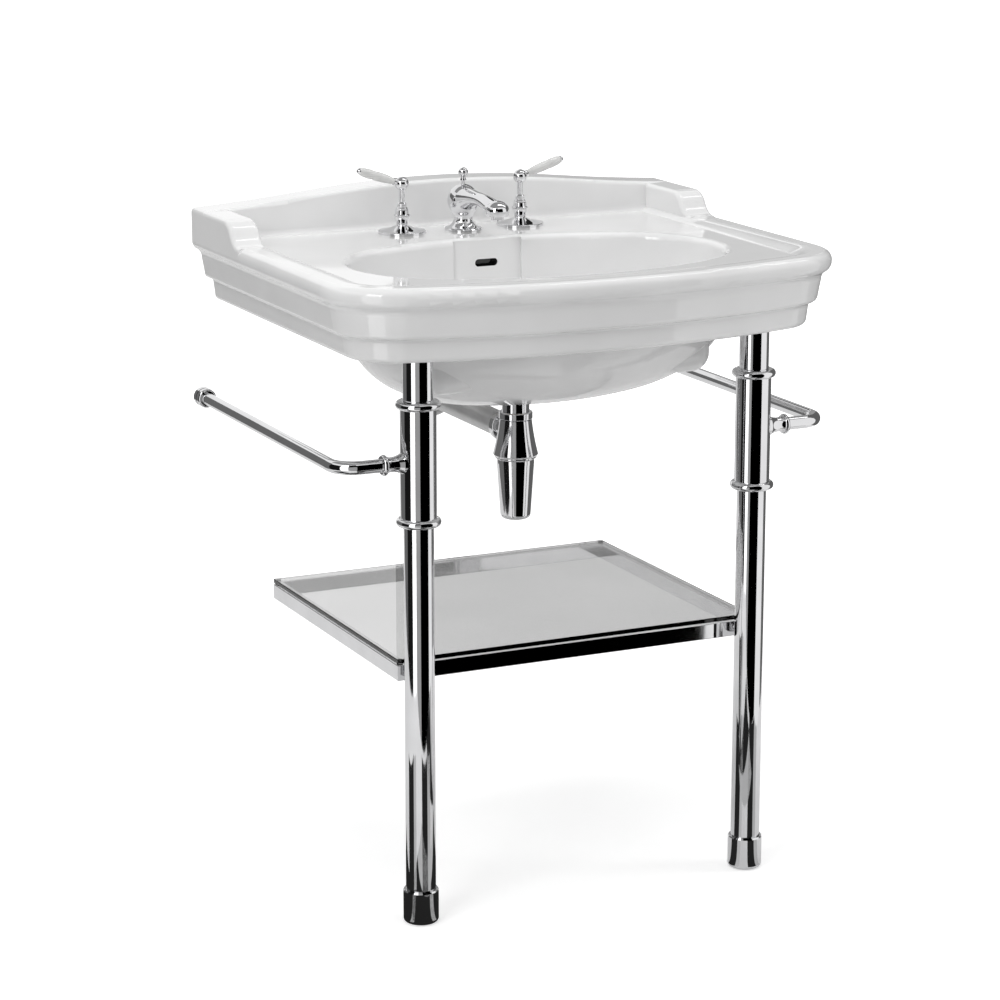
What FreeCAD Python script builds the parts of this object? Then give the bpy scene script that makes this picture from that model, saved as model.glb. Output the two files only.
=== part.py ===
"""Console sink with legs: a moulded ceramic basin on two chrome legs, bolted to a wall at the back.

Millimetres. X runs along the wall, +Y points to the wall, +Z is up. The origin is on the floor,
in the middle of the basin's width and depth, and the wall's face is the plane Y = basin_depth / 2.
"""
import FreeCAD, Part
import math
import os
import re
import Sketcher
from FreeCAD import Placement, Rotation, Vector

doc = FreeCAD.newDocument("ConsoleSink")
sheet = doc.addObject("Spreadsheet::Sheet", "Sizes")

# ---------------------------------------------------------------- driving sizes

SIZES = {
    # Clearances: turned pieces slip over tubes, and faces of moving pieces keep a running gap.
    "slip_fit": 0.3,
    "running_gap": 0.3,
    # Basin outline in plan.
    "basin_width": 700,
    "basin_depth": 590,
    "deck_height": 819,
    "deck_thickness": 22,
    "front_bow_radius": 1030,
    "corner_radius": 100,
    # Rim: a raised band round the deck.
    "rim_rise": 7,
    "rim_width": 52,
    "rim_slope": 26,
    "rim_rounding": 12,
    # Apron moulding: three bands with an ogee step under the first and the second.
    "apron_height": 90,
    "band_one_drop": 2,
    "step_one_drop": 22,
    "step_one_in": 13,
    "band_two_drop": 22,
    "band_two_in": 4,
    "step_two_drop": 14,
    "step_two_in": 12,
    "band_three_in": 2,
    "apron_rounding": 8,
    "apron_wall": 15,
    # Upstand along the wall and its two wings.
    "upstand_thickness": 46,
    "upstand_centre_rise": 61.5,
    "upstand_corner_rise": 37.5,
    "serpentine_turn": 190,
    "serpentine_dip": 10.6,
    "upstand_rounding": 6,
    "upstand_cove": 9,
    "wing_thickness": 41,
    "wing_length": 123,
    "wing_drop_length": 52,
    # Bowl.
    "bowl_from_side": 96,
    "bowl_reach": 320,
    "bowl_from_wall": 340,
    "bowl_floor_width": 120,
    "bowl_floor_reach": 70,
    "bowl_deep": 155,
    "bowl_end_share": 0.84,
    "bowl_wall": 14,
    "bowl_floor_thickness": 38,
    "bowl_lip": 9,
    "panel_width": 100,
    "panel_set_back": 1.5,
    "overflow_width": 33,
    "overflow_height": 10,
    "overflow_depth": 13,
    "overflow_below_deck": 34,
    # Underbody box that carries the basin at the wall.
    "box_inside_legs": 32.5,
    "box_front_from_wall": 445,
    "box_bottom_below_deck": 153,
    "box_rounding": 25,
    "box_wall": 15,
    "box_pocket_from_wall": 160,
    # Tap holes, waste hole, wall bolts.
    "tap_spacing": 175,
    "tap_from_wall": 99,
    "spout_forward": 6,
    "tap_hole": 32,
    "drain_from_wall": 270,
    "waste_hole": 45,
    "waste_recess": 58,
    "waste_recess_depth": 12,
    "wall_bolt_from_box_side": 63,
    "wall_bolt_below_deck": 75,
    "wall_bolt_hole": 14,
    # Legs.
    "leg_from_side": 114.5,
    "leg_from_front": 103,
    "leg_diameter": 38,
    "leg_tube_wall": 1.5,
    "leg_socket_below_deck": 67,
    "leg_boss_diameter": 56,
    "stud_diameter": 10,
    "stud_length": 30,
    "stud_plug_length": 20,
    "foot_diameter": 45,
    "foot_height": 45,
    "foot_floor": 6,
    "foot_rounding": 5,
    "foot_chamfer": 2,
    "pad_diameter": 30,
    "pad_thickness": 3,
    "pad_stands_out": 1,
    "sleeve_diameter": 45.5,
    "ring_diameter": 59,
    "ring_thickness": 10.3,
    "ring_face": 9.2,
    "ring_below_rail": 75.5,
    "ring_above_rail": 72,
    # Towel rails.
    "rail_from_side": 10,
    "rail_below_deck": 219.5,
    "rail_diameter": 17,
    "rail_tube_wall": 1.5,
    "rail_bend": 30,
    "union_length": 27,
    "union_base_diameter": 26,
    "union_neck_diameter": 19,
    "union_collar_diameter": 25,
    "union_collar_width": 7,
    "cap_diameter": 26,
    "cap_length": 20,
    "cap_groove_depth": 2,
    "cap_groove_width": 2,
    # Shelf.
    "shelf_past_leg": 18,
    "shelf_bottom": 313,
    "shelf_gap_at_leg": 8.4,
    "shelf_gap_at_wall": 28.5,
    "shelf_bar_height": 20.5,
    "shelf_bar_width": 10,
    "shelf_bar_rounding": 1,
    "glass_thickness": 6,
    "glass_rounding": 1,
    "bumper_diameter": 8,
    "bumper_height": 1.5,
    "shelf_stub_diameter": 12,
    # Valves.
    "valve_flange_diameter": 64.5,
    "valve_flange_rim": 3.8,
    "valve_flange_rise": 10,
    "valve_flange_top": 20,
    "bonnet_base": 13.8,
    "bonnet_ring": 22,
    "bonnet_waist": 18.4,
    "bonnet_crown": 16.4,
    "bonnet_top": 12.5,
    "bonnet_height": 28,
    "stem_diameter": 8,
    "stem_height": 66.6,
    "ball_diameter": 19,
    "lever_length": 68,
    "lever_rise_angle": 18.2,
    "grip_start": 12,
    "grip_start_diameter": 7.5,
    "grip_diameter": 12.6,
    "grip_end_diameter": 8.6,
    "lever_tip_length": 4.6,
    "valve_thread": 28,
    "valve_tail_length": 58,
    "lock_nut_diameter": 44,
    "lock_nut_height": 9,
    # Spout.
    "spout_flange_diameter": 51,
    "spout_flange_rim": 3.5,
    "spout_waist_diameter": 25.5,
    "spout_waist_rise": 16.5,
    "spout_bulb_diameter": 43,
    "spout_bulb_rise": 39,
    "spout_top_rise": 62,
    "spout_reach": 124,
    "spout_arm_rise": 47,
    "spout_arm_height": 17,
    "spout_nose_diameter": 32,
    "spout_nose_bottom": 33,
    "spout_nose_crown": 53,
    "aerator_diameter": 17,
    "aerator_drop": 6,
    "shank_diameter": 26,
    "shank_length": 62,
    "link_pipe_diameter": 10,
    "link_pipe_below_deck": 36.5,
    # Pop-up waste.
    "lift_rod_diameter": 5,
    "lift_rod_bore": 7,
    "knob_diameter": 13.4,
    "knob_rise": 77.8,
    "lift_travel": 30,
    "strap_width": 12,
    "strap_thickness": 2,
    "strap_hole": 9,
    "strap_block": 14,
    "strap_clearance": 4,
    "pivot_from_drain": 24,
    "pivot_below_bowl": 9,
    "pivot_rod_diameter": 5,
    "pivot_rod_slope": 2,
    "pivot_ball": 8.4,
    "pivot_nut_diameter": 15,
    "pivot_nut_length": 11,
    "plug_diameter": 40,
    "plug_dome": 5,
    "plug_lip": 2.5,
    "plug_stem": 8,
    "plug_lift": 4.5,
    "waste_flange_diameter": 64,
    "waste_flange_rise": 2,
    "waste_thread": 42,
    "waste_tail": 36.5,
    "waste_bore": 31,
    "waste_nut_diameter": 54,
    "waste_washer_height": 4,
    # Bottle trap.
    "trap_nut_diameter": 45,
    "trap_nut_height": 11,
    "trap_cone_top_diameter": 43.2,
    "trap_cone_diameter": 60.2,
    "trap_cone_height": 53,
    "trap_cone_rounding": 4,
    "trap_wall": 2,
    "cup_top_diameter": 50,
    "cup_bottom_diameter": 40.8,
    "cup_height": 81,
    "cup_rounding": 7,
    "outlet_below_bowl": 53,
    "outlet_below_nut": 27.5,
    "outlet_diameter": 34,
    "outlet_nut_diameter": 41,
    "outlet_nut_length": 12,
    "outlet_nut_from_axis": 30,
    "escutcheon_diameter": 62,
    "escutcheon_depth": 16,
}

# Places that several pieces share, worked out by the sheet from the sizes above.
PLACES = {
    "wall_y": "basin_depth / 2",
    "leg_spacing": "basin_width - 2 * leg_from_side",
    "leg_y": "leg_from_front - wall_y",
    "leg_from_wall": "wall_y - leg_y",
    "leg_radius": "leg_diameter / 2",
    "leg_top": "deck_height - leg_socket_below_deck",
    "sleeve_bore": "leg_radius + slip_fit",
    "sleeve_radius": "sleeve_diameter / 2",
    "ring_half": "ring_face / 2",
    "rail_spacing": "basin_width - 2 * rail_from_side",
    "rail_height": "deck_height - rail_below_deck",
    "ring_lower_height": "rail_height - ring_below_rail",
    "ring_upper_height": "rail_height + ring_above_rail",
    "tap_y": "wall_y - tap_from_wall",
    "spout_y": "tap_y - spout_forward",
    "drain_y": "wall_y - drain_from_wall",
    "bowl_width": "basin_width - 2 * bowl_from_side",
    "bowl_floor": "deck_height - bowl_deep",
    "underside": "bowl_floor - bowl_floor_thickness",
    "box_width": "leg_spacing - 2 * box_inside_legs",
    "wall_bolt_spacing": "box_width - 2 * wall_bolt_from_box_side",
    "shelf_width": "leg_spacing + 2 * shelf_past_leg",
    "shelf_front_y": "leg_y + leg_radius + shelf_gap_at_leg",
    "shelf_back_y": "wall_y - shelf_gap_at_wall",
    "shelf_depth": "shelf_back_y - shelf_front_y",
    "shelf_top": "shelf_bottom + shelf_bar_height",
    "glass_bottom": "shelf_top + bumper_height",
    "deck_underside": "deck_height - deck_thickness",
    "pivot_y": "drain_y + pivot_from_drain",
    "pivot_z": "underside - pivot_below_bowl",
    "strap_y": "spout_y",
    "pivot_reach": "strap_y - pivot_y",
    "closed_slope": "asin(lift_travel / pivot_reach - sin(pivot_rod_slope))",
    "strap_top": "deck_height - shank_length - strap_clearance - lift_travel",
    "lift_rod_low": "strap_top - strap_block",
    "outlet_height": "underside - outlet_below_bowl",
    "trap_nut_top": "outlet_height + outlet_below_nut",
    "trap_cone_top": "trap_nut_top - trap_nut_height",
    "trap_cone_bottom": "trap_cone_top - trap_cone_height",
    "cup_top": "trap_cone_bottom - running_gap",
    "cup_bottom": "cup_top - cup_height",
}


def fill_sheet():
    """Each size gets a row: its word in column A, its value in column B with the word as alias."""
    rows = list(SIZES.items()) + [(name, "=" + rule) for name, rule in PLACES.items()]
    for row, (name, value) in enumerate(rows, start=1):
        sheet.set(f"A{row}", name)
        sheet.set(f"B{row}", str(value))
        sheet.setAlias(f"B{row}", name)
    doc.recompute()


def size(rule):
    """The number that a rule over the sheet's words gives now."""
    return float(sheet.evalExpression(rule))


def bound(rule):
    """The same rule, as another object of the document has to write it."""
    return re.sub(r"[a-z]\w+\b(?!\()", r"Sizes.\g<0>", rule)


# ---------------------------------------------------------------- sketch and body helpers

UPRIGHT = Rotation()
ALONG_X = Rotation(Vector(0, 1, 0), 90)
ALONG_MINUS_X = Rotation(Vector(0, 1, 0), -90)
ALONG_Y = Rotation(Vector(1, 0, 0), -90)


def new_body(label, place=("0", "0", "0"), turn=UPRIGHT):
    """A body whose origin stands at three rules over the sheet, turned by a fixed rotation."""
    body = doc.addObject("PartDesign::Body", label)
    body.Label = label
    body.Placement = Placement(Vector(), turn)
    for axis, rule in zip("xyz", place):
        body.setExpression(f"Placement.Base.{axis}", bound(rule))
    return body


def new_sketch(body, role, name):
    """An empty sketch on one of the body's own origin planes."""
    sketch = body.newObject("Sketcher::SketchObject", name)
    plane = next(o for o in body.Origin.OriginFeatures if o.Role == role)
    sketch.AttachmentSupport = [(plane, "")]
    sketch.MapMode = "FlatFace"
    return sketch


def fix_point(sketch, edge, end, rule_x, rule_y):
    """Holds one end of an edge at two rules, measured from the sketch's origin."""
    for kind, rule in (("DistanceX", rule_x), ("DistanceY", rule_y)):
        number = sketch.addConstraint(Sketcher.Constraint(kind, -1, 1, edge, end, size(rule)))
        sketch.setExpression(f"Constraints[{number}]", bound(rule))


def arc_centre(start, end, radius):
    """Centre of the arc that bulges to the right of the way from start to end."""
    half = (end - start) * 0.5
    reach = math.sqrt(max(radius ** 2 - half.Length ** 2, 0.0))
    left = Vector(-half.y, half.x, 0).normalize()
    return start + half + left * reach


def add_arc(sketch, start, end, rule):
    """An arc between two points. A radius rule that gives a negative number bulges to the left."""
    radius = size(rule)
    if radius < 0:
        start, end = end, start
    centre = arc_centre(start, end, abs(radius))
    first = math.atan2(start.y - centre.y, start.x - centre.x)
    last = math.atan2(end.y - centre.y, end.x - centre.x)
    circle = Part.Circle(centre, Vector(0, 0, 1), abs(radius))
    edge = sketch.addGeometry(Part.ArcOfCircle(circle, first, last), False)
    number = sketch.addConstraint(Sketcher.Constraint("Radius", edge, abs(radius)))
    sketch.setExpression(f"Constraints[{number}]", bound(rule if radius > 0 else f"-1 * ({rule})"))
    return edge, radius < 0


def draw_outline(sketch, outline):
    """A closed outline. Each corner is a pair of rules, and a third rule bends the run after it."""
    corners = [Vector(size(step[0]), size(step[1]), 0) for step in outline]
    ends = []
    for number, step in enumerate(outline):
        start = corners[number]
        end = corners[(number + 1) % len(outline)]
        if len(step) == 3:
            edge, reverse = add_arc(sketch, start, end, step[2])
        else:
            edge, reverse = sketch.addGeometry(Part.LineSegment(start, end), False), False
        ends.append((edge, 2 if reverse else 1, 1 if reverse else 2))
    for number, (edge, first, last) in enumerate(ends):
        follower, entry, _ = ends[(number + 1) % len(ends)]
        sketch.addConstraint(Sketcher.Constraint("Coincident", edge, last, follower, entry))
        fix_point(sketch, edge, first, outline[number][0], outline[number][1])


def turned(label, outline, place=("0", "0", "0"), turn=UPRIGHT):
    """A lathe-turned piece: its outline gives radius and height, and turns about the body's Z."""
    body = new_body(label, place, turn)
    sketch = new_sketch(body, "XZ_Plane", label + "_section")
    draw_outline(sketch, outline)
    solid = body.newObject("PartDesign::Revolution", label + "_turned")
    solid.Profile = sketch
    solid.ReferenceAxis = (sketch, ["V_Axis"])
    solid.Angle = 360
    sketch.Visibility = False
    return body


def dome(radius, rise):
    """The radius rule of an arc that runs up to the axis and arrives there square to it."""
    return f"(({radius}) ^ 2 + ({rise}) ^ 2) / 2 / ({rise})"


def tube(label, outer, inner, bottom, top, place=("0", "0", "0"), turn=UPRIGHT):
    """A plain tube: outer and inner radius, between two heights."""
    outline = [(inner, bottom), (outer, bottom), (outer, top), (inner, top)]
    return turned(label, outline, place, turn)


def rod(label, radius, bottom, top, place=("0", "0", "0"), turn=UPRIGHT):
    """A plain round bar between two heights."""
    outline = [("0", bottom), (radius, bottom), (radius, top), ("0", top)]
    return turned(label, outline, place, turn)


def add_circle(sketch, rule_x, rule_y, rule_radius):
    """A circle whose centre and radius are rules."""
    centre = Vector(size(rule_x), size(rule_y), 0)
    edge = sketch.addGeometry(Part.Circle(centre, Vector(0, 0, 1), size(rule_radius)), False)
    fix_point(sketch, edge, 3, rule_x, rule_y)
    number = sketch.addConstraint(Sketcher.Constraint("Radius", edge, size(rule_radius)))
    sketch.setExpression(f"Constraints[{number}]", bound(rule_radius))


def bore(body, role, name, circle, reverse=False, both_ways=False):
    """A round hole cut right through one side of a body, or both, from an origin plane."""
    sketch = new_sketch(body, role, name + "_circle")
    add_circle(sketch, *circle)
    doc.recompute()
    before = body.Shape.Volume
    cut = body.newObject("PartDesign::Pocket", name)
    cut.Profile = sketch
    cut.Type = "ThroughAll"
    cut.Midplane = both_ways
    cut.Reversed = reverse
    sketch.Visibility = False
    doc.recompute()
    if not body.Shape.Volume < before:
        raise ValueError(name + " cuts nothing")


def pad_outline(label, role, outline, height, place=("0", "0", "0")):
    """A body padded from a closed outline on an origin plane."""
    body = new_body(label, place)
    sketch = new_sketch(body, role, label + "_section")
    draw_outline(sketch, outline)
    solid = body.newObject("PartDesign::Pad", label + "_pad")
    solid.Profile = sketch
    solid.setExpression("Length", bound(height))
    sketch.Visibility = False
    return body


def group(label, pieces):
    """Several equal solids that share one node."""
    whole = doc.addObject("Part::Compound", label)
    whole.Label = label
    whole.Links = pieces
    return whole


def of_shape(label, shape):
    """A piece whose shape is worked out below from the sheet's sizes."""
    piece = doc.addObject("Part::Feature", label)
    piece.Label = label
    piece.Shape = shape
    return piece


SIDES = {"left": "-1", "right": "1"}


# ---------------------------------------------------------------- legs


def make_leg(side, sign):
    """Tube, foot cup, lower ring, sleeve and upper ring, threaded on one another from the foot."""
    leg_x = f"{sign} * leg_spacing / 2"
    place = (leg_x, "leg_y", "0")
    yield tube(f"{side}_leg_tube", "leg_radius", "leg_radius - leg_tube_wall", "foot_floor", "leg_top", place)

    cup_radius = "foot_diameter / 2"
    yield turned(f"{side}_foot_cup", [
        ("0", "pad_thickness"),
        ("pad_diameter / 2 + slip_fit", "pad_thickness"),
        ("pad_diameter / 2 + slip_fit", "pad_stands_out"),
        (f"{cup_radius} - foot_rounding", "pad_stands_out", "foot_rounding"),
        (cup_radius, "pad_stands_out + foot_rounding"),
        (cup_radius, "foot_height - foot_chamfer"),
        (f"{cup_radius} - foot_chamfer / 2", "foot_height"),
        ("sleeve_bore", "foot_height"),
        ("sleeve_bore", "foot_floor"),
        ("0", "foot_floor"),
    ], place)

    for name, height in (("lower", "ring_lower_height"), ("upper", "ring_upper_height")):
        inner_face = "sleeve_radius - slip_fit"
        yield turned(f"{side}_{name}_ring", [
            ("leg_radius", f"{height} - ring_half"),
            (inner_face, f"{height} - ring_half"),
            ("ring_diameter / 2 - ring_thickness / 2", f"{height} - ring_thickness / 2",
             "ring_thickness * 0.52"),
            ("ring_diameter / 2 - ring_thickness / 2", f"{height} + ring_thickness / 2"),
            (inner_face, f"{height} + ring_half"),
            ("leg_radius", f"{height} + ring_half"),
        ], place)

    yield tube(f"{side}_leg_sleeve", "sleeve_radius", "sleeve_bore",
               "ring_lower_height + ring_half", "ring_upper_height - ring_half", place)


def make_leg_small_parts():
    """Floor pads under the cups, and the threaded plugs that enter the basin from the leg tops."""
    pads = []
    studs = []
    for side, sign in SIDES.items():
        place = (f"{sign} * leg_spacing / 2", "leg_y", "0")
        pads.append(rod(f"{side}_pad", "pad_diameter / 2", "0", "pad_thickness", place))
        plug_radius = "leg_radius - leg_tube_wall"
        studs.append(turned(f"{side}_stud", [
            ("0", "leg_top - stud_plug_length"),
            (plug_radius, "leg_top - stud_plug_length"),
            (plug_radius, "leg_top - running_gap"),
            ("stud_diameter / 2", "leg_top - running_gap"),
            ("stud_diameter / 2", "leg_top + stud_length"),
            ("0", "leg_top + stud_length"),
        ], place))
    yield group("foot_pads", pads)
    yield group("leg_top_studs", studs)


# ---------------------------------------------------------------- towel rails


def make_rail(side, sign):
    """A bent tube from the leg's union to the wall, and the turned pieces at its two ends."""
    collar_x = "leg_spacing / 2 + sleeve_radius + union_length - union_collar_width"
    rail_x = "rail_spacing / 2"
    body = new_body(f"{side}_towel_rail", ("0", "leg_y", "rail_height"))
    path = new_sketch(body, "XY_Plane", f"{side}_rail_path")
    start = Vector(size(f"{sign} * ({collar_x})"), 0, 0)
    turn_in = Vector(size(f"{sign} * ({rail_x} - rail_bend)"), 0, 0)
    turn_out = Vector(size(f"{sign} * {rail_x}"), size("rail_bend"), 0)
    wall = Vector(turn_out.x, size("leg_from_wall - cap_length / 2"), 0)
    path.addGeometry(Part.LineSegment(start, turn_in), False)
    if size(sign) > 0:
        bend, entry, way_out = add_arc(path, turn_in, turn_out, "rail_bend")[0], 1, 2
    else:
        bend, entry, way_out = add_arc(path, turn_out, turn_in, "rail_bend")[0], 2, 1
    path.addGeometry(Part.LineSegment(turn_out, wall), False)
    path.addConstraint(Sketcher.Constraint("Coincident", 0, 2, bend, entry))
    path.addConstraint(Sketcher.Constraint("Coincident", 2, 1, bend, way_out))
    fix_point(path, 0, 1, f"{sign} * ({collar_x})", "0")
    fix_point(path, 0, 2, f"{sign} * ({rail_x} - rail_bend)", "0")
    fix_point(path, 2, 1, f"{sign} * {rail_x}", "rail_bend")
    fix_point(path, 2, 2, f"{sign} * {rail_x}", "leg_from_wall - cap_length / 2")

    section = new_sketch(body, "YZ_Plane", f"{side}_rail_section")
    section.setExpression("AttachmentOffset.Base.z", bound(f"{sign} * ({collar_x})"))
    add_circle(section, "0", "0", "rail_diameter / 2")
    add_circle(section, "0", "0", "rail_diameter / 2 - rail_tube_wall")
    doc.recompute()
    pipe = body.newObject("PartDesign::AdditivePipe", f"{side}_rail_pipe")
    pipe.Profile = section
    pipe.Spine = (path, ["Edge1", "Edge2", "Edge3"])
    section.Visibility = False
    path.Visibility = False
    yield body

    outward = ALONG_X if size(sign) > 0 else ALONG_MINUS_X
    union_place = (f"{sign} * (leg_spacing / 2 + sleeve_radius)", "leg_y", "rail_height")
    half_base = "union_base_diameter / 2"
    neck = "union_neck_diameter / 2"
    collar = "union_collar_diameter / 2"
    union = turned(f"{side}_rail_union", [
        ("0", "-1 * union_base_diameter / 4"),
        (half_base, "-1 * union_base_diameter / 4"),
        (half_base, "0", "-1.1 * union_base_diameter"),
        (neck, "union_length - union_collar_width - 3"),
        (f"{collar} - 1.5", "union_length - union_collar_width", "union_collar_width / 1.8"),
        (f"{collar} - 1.5", "union_length"),
        ("rail_diameter / 2", "union_length"),
        ("rail_diameter / 2", "union_length - union_collar_width"),
        ("0", "union_length - union_collar_width"),
    ], union_place, outward)
    yield notched(union, f"{side}_union_seat", "YZ_Plane", "0", "-1 * sleeve_radius", "sleeve_radius")

    cap_place = (f"{sign} * rail_spacing / 2", "wall_y - cap_length", "rail_height")
    cap = "cap_diameter / 2"
    yield turned(f"{side}_rail_wall_cap", [
        ("rail_diameter / 2", "0"),
        (f"{cap} - 3", "0", "3"),
        (cap, "3"),
        (cap, "cap_length / 2 - cap_groove_width / 2"),
        (f"{cap} - cap_groove_depth", "cap_length / 2 - cap_groove_width / 2"),
        (f"{cap} - cap_groove_depth", "cap_length / 2 + cap_groove_width / 2"),
        (cap, "cap_length / 2 + cap_groove_width / 2"),
        (cap, "cap_length"),
        ("0", "cap_length"),
        ("0", "cap_length / 2"),
        ("rail_diameter / 2", "cap_length / 2"),
    ], cap_place, ALONG_Y)


# ---------------------------------------------------------------- basin


def arc_about(centre, start, end):
    """The shorter arc round a centre, from one point to another."""
    middle = ((start - centre) + (end - centre)).normalize() * (start - centre).Length
    return Part.Arc(start, centre + middle, end).toShape()


def wire_of(*parts):
    """A wire from points and ready-made edges, with straight runs between neighbours that don't meet."""
    edges = []
    last = None
    for part in parts:
        first = part if isinstance(part, Vector) else part.firstVertex(True).Point
        if last is not None and (first - last).Length > 1e-6:
            edges.append(Part.LineSegment(last, first).toShape())
        if isinstance(part, Vector):
            last = part
        else:
            edges.append(part)
            last = part.lastVertex(True).Point
    return Part.Wire(edges)


def closed_face(*parts):
    """A flat face inside the closed run of points and edges."""
    start = parts[0] if isinstance(parts[0], Vector) else parts[0].firstVertex(True).Point
    return Part.Face(wire_of(*parts, start))


def plan_centres():
    """Centre of the front's bow, of the right corner's arc, and the point where both arcs meet on the outline."""
    corner_x = size("basin_width / 2 - corner_radius")
    bow_centre = Vector(0, size("front_bow_radius - basin_depth / 2"), 0)
    bow_to_corner = size("front_bow_radius - corner_radius")
    corner_centre = Vector(corner_x, bow_centre.y - math.sqrt(bow_to_corner ** 2 - corner_x ** 2), 0)
    toward_bow = (corner_centre - bow_centre).normalize()
    return bow_centre, corner_centre, bow_centre + toward_bow * size("front_bow_radius")


def plan_edges(inset):
    """The basin's plan outline, set in by a distance: side, corner, bowed front, corner, side."""
    bow_centre, corner_centre, meeting = plan_centres()
    wall = size("wall_y")
    outer = Vector(size("basin_width / 2") - inset, corner_centre.y, 0)
    touch = meeting + (bow_centre - meeting).normalize() * inset

    def mirrored(point):
        return Vector(-point.x, point.y, point.z)

    return [
        Part.LineSegment(Vector(-outer.x, wall, 0), mirrored(outer)).toShape(),
        arc_about(mirrored(corner_centre), mirrored(outer), mirrored(touch)),
        arc_about(bow_centre, mirrored(touch), touch),
        arc_about(corner_centre, touch, outer),
        Part.LineSegment(outer, Vector(outer.x, wall, 0)).toShape(),
    ]


def moulding():
    """The rim and apron: their section drawn out along the sides, and turned round the corners and the bow."""
    bow_centre, corner_centre, meeting = plan_centres()
    up = Vector(0, 0, 1)
    right = Part.Face(moulding_section())
    run = corner_centre.y - size("wall_y")
    side = right.extrude(Vector(0, run, 0))
    start = right.translated(Vector(0, run, 0))
    turn = math.degrees((meeting - corner_centre).getAngle(Vector(1, 0, 0)))
    corner = start.revolve(corner_centre, up, -turn)
    joint = start.rotated(corner_centre, up, -turn)
    half_bow = math.degrees((meeting - bow_centre).getAngle(Vector(0, -1, 0)))
    front = joint.revolve(bow_centre, up, -2 * half_bow)
    mirror = [piece.mirror(Vector(), Vector(1, 0, 0)) for piece in (side, corner)]
    return [front, side, corner] + mirror


def ogee(start, end):
    """Two equal arcs that leave one upright band and arrive on the next, stepping in and down."""
    inward = start.x - end.x
    down = start.z - end.z
    radius = (down ** 2 + inward ** 2) / (4 * inward)
    middle = (start + end) * 0.5
    upper = arc_about(Vector(start.x - radius, start.y, start.z), start, middle)
    lower = arc_about(Vector(end.x + radius, end.y, end.z), middle, end)
    return upper, lower


def moulding_section():
    """The rim and apron as they would show on a cut across the basin's side, at the wall."""
    def at(inset, height):
        return Vector(size("basin_width / 2") - inset, size("wall_y"), height)

    deck = size("deck_height")
    rim_top = size("deck_height + rim_rise")
    band_one_low = size("deck_height + rim_rise - rim_rounding - band_one_drop")
    step_one = size("step_one_in")
    band_two_top = band_one_low - size("step_one_drop")
    band_two_low = band_two_top - size("band_two_drop")
    band_two_face = size("step_one_in + band_two_in")
    band_three_top = band_two_low - size("step_two_drop")
    band_three_face = band_two_face + size("step_two_in")
    foot = size("deck_height + rim_rise - apron_height - 6")
    rounding = size("apron_rounding")
    foot_face = band_three_face + size("band_three_in")
    wall = size("apron_wall")
    deck_low = size("deck_underside")
    slope_radius = size("(rim_slope ^ 2 + rim_rise ^ 2) / 2 / rim_rise")
    slope_top = size("rim_width - rim_slope")
    edge = size("rim_rounding")
    upper_one, lower_one = ogee(at(0, band_one_low), at(step_one, band_two_top))
    upper_two, lower_two = ogee(at(band_two_face, band_two_low), at(band_three_face, band_three_top))
    return wire_of(
        arc_about(at(slope_top, rim_top - slope_radius), at(size("rim_width"), deck), at(slope_top, rim_top)),
        arc_about(at(edge, rim_top - edge), at(edge, rim_top), at(0, rim_top - edge)),
        upper_one,
        lower_one,
        upper_two,
        lower_two,
        arc_about(at(foot_face + rounding, foot + rounding), at(foot_face, foot + rounding),
                  at(foot_face + rounding, foot)),
        at(foot_face + rounding + wall, foot),
        at(foot_face + rounding + wall, foot + wall),
        at(foot_face, band_two_top - wall),
        at(foot_face, deck_low),
        at(size("rim_width"), deck_low),
        at(size("rim_width"), deck),
    )


def oval_arcs(half_width, half_reach, middle_y, height):
    """The four arcs of an oval with round ends: centre, radius, first angle and sweep of each."""
    end_radius = half_reach * size("bowl_end_share")
    end_x = half_width - end_radius
    side_radius = (end_x ** 2 + half_reach ** 2 - end_radius ** 2) / (2 * (half_reach - end_radius))
    side_y = side_radius - half_reach
    lean = math.degrees(math.atan2(end_x, side_y))
    return [
        (Vector(end_x, middle_y, height), end_radius, lean - 90, 180 - 2 * lean),
        (Vector(0, middle_y - side_y, height), side_radius, 90 - lean, 2 * lean),
        (Vector(-end_x, middle_y, height), end_radius, 90 + lean, 180 - 2 * lean),
        (Vector(0, middle_y + side_y, height), side_radius, 270 - lean, 2 * lean),
    ]


def oval(*place):
    """The oval's outline as a closed wire."""
    up = Vector(0, 0, 1)
    arcs = oval_arcs(*place)
    return Part.Wire([Part.makeCircle(radius, centre, up, first, first + sweep)
                      for centre, radius, first, sweep in arcs])


BOWL_STEPS = (0, 5, 15, 30, 45, 60, 75, 90)


def bowl_place(angle, grow, top, bottom):
    """Half width, half reach, middle and height of the bowl's oval at one step of its curve."""
    open_share = math.cos(math.radians(angle))
    fall_share = math.sin(math.radians(angle)) ** (2 / 3)
    half_width = size("bowl_floor_width / 2") + size("(bowl_width - bowl_floor_width) / 2") * open_share
    half_reach = size("bowl_floor_reach / 2") + size("(bowl_reach - bowl_floor_reach) / 2") * open_share
    rim_middle = size("wall_y - bowl_from_wall")
    middle_y = size("drain_y") + (rim_middle - size("drain_y")) * open_share
    return half_width + grow, half_reach + grow, middle_y, top - (top - bottom) * fall_share


def bowl(grow, top, bottom):
    """A solid of the bowl's form, grown all round by a distance, between two heights."""
    return Part.makeLoft([oval(*bowl_place(angle, grow, top, bottom)) for angle in BOWL_STEPS], True, False)


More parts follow.
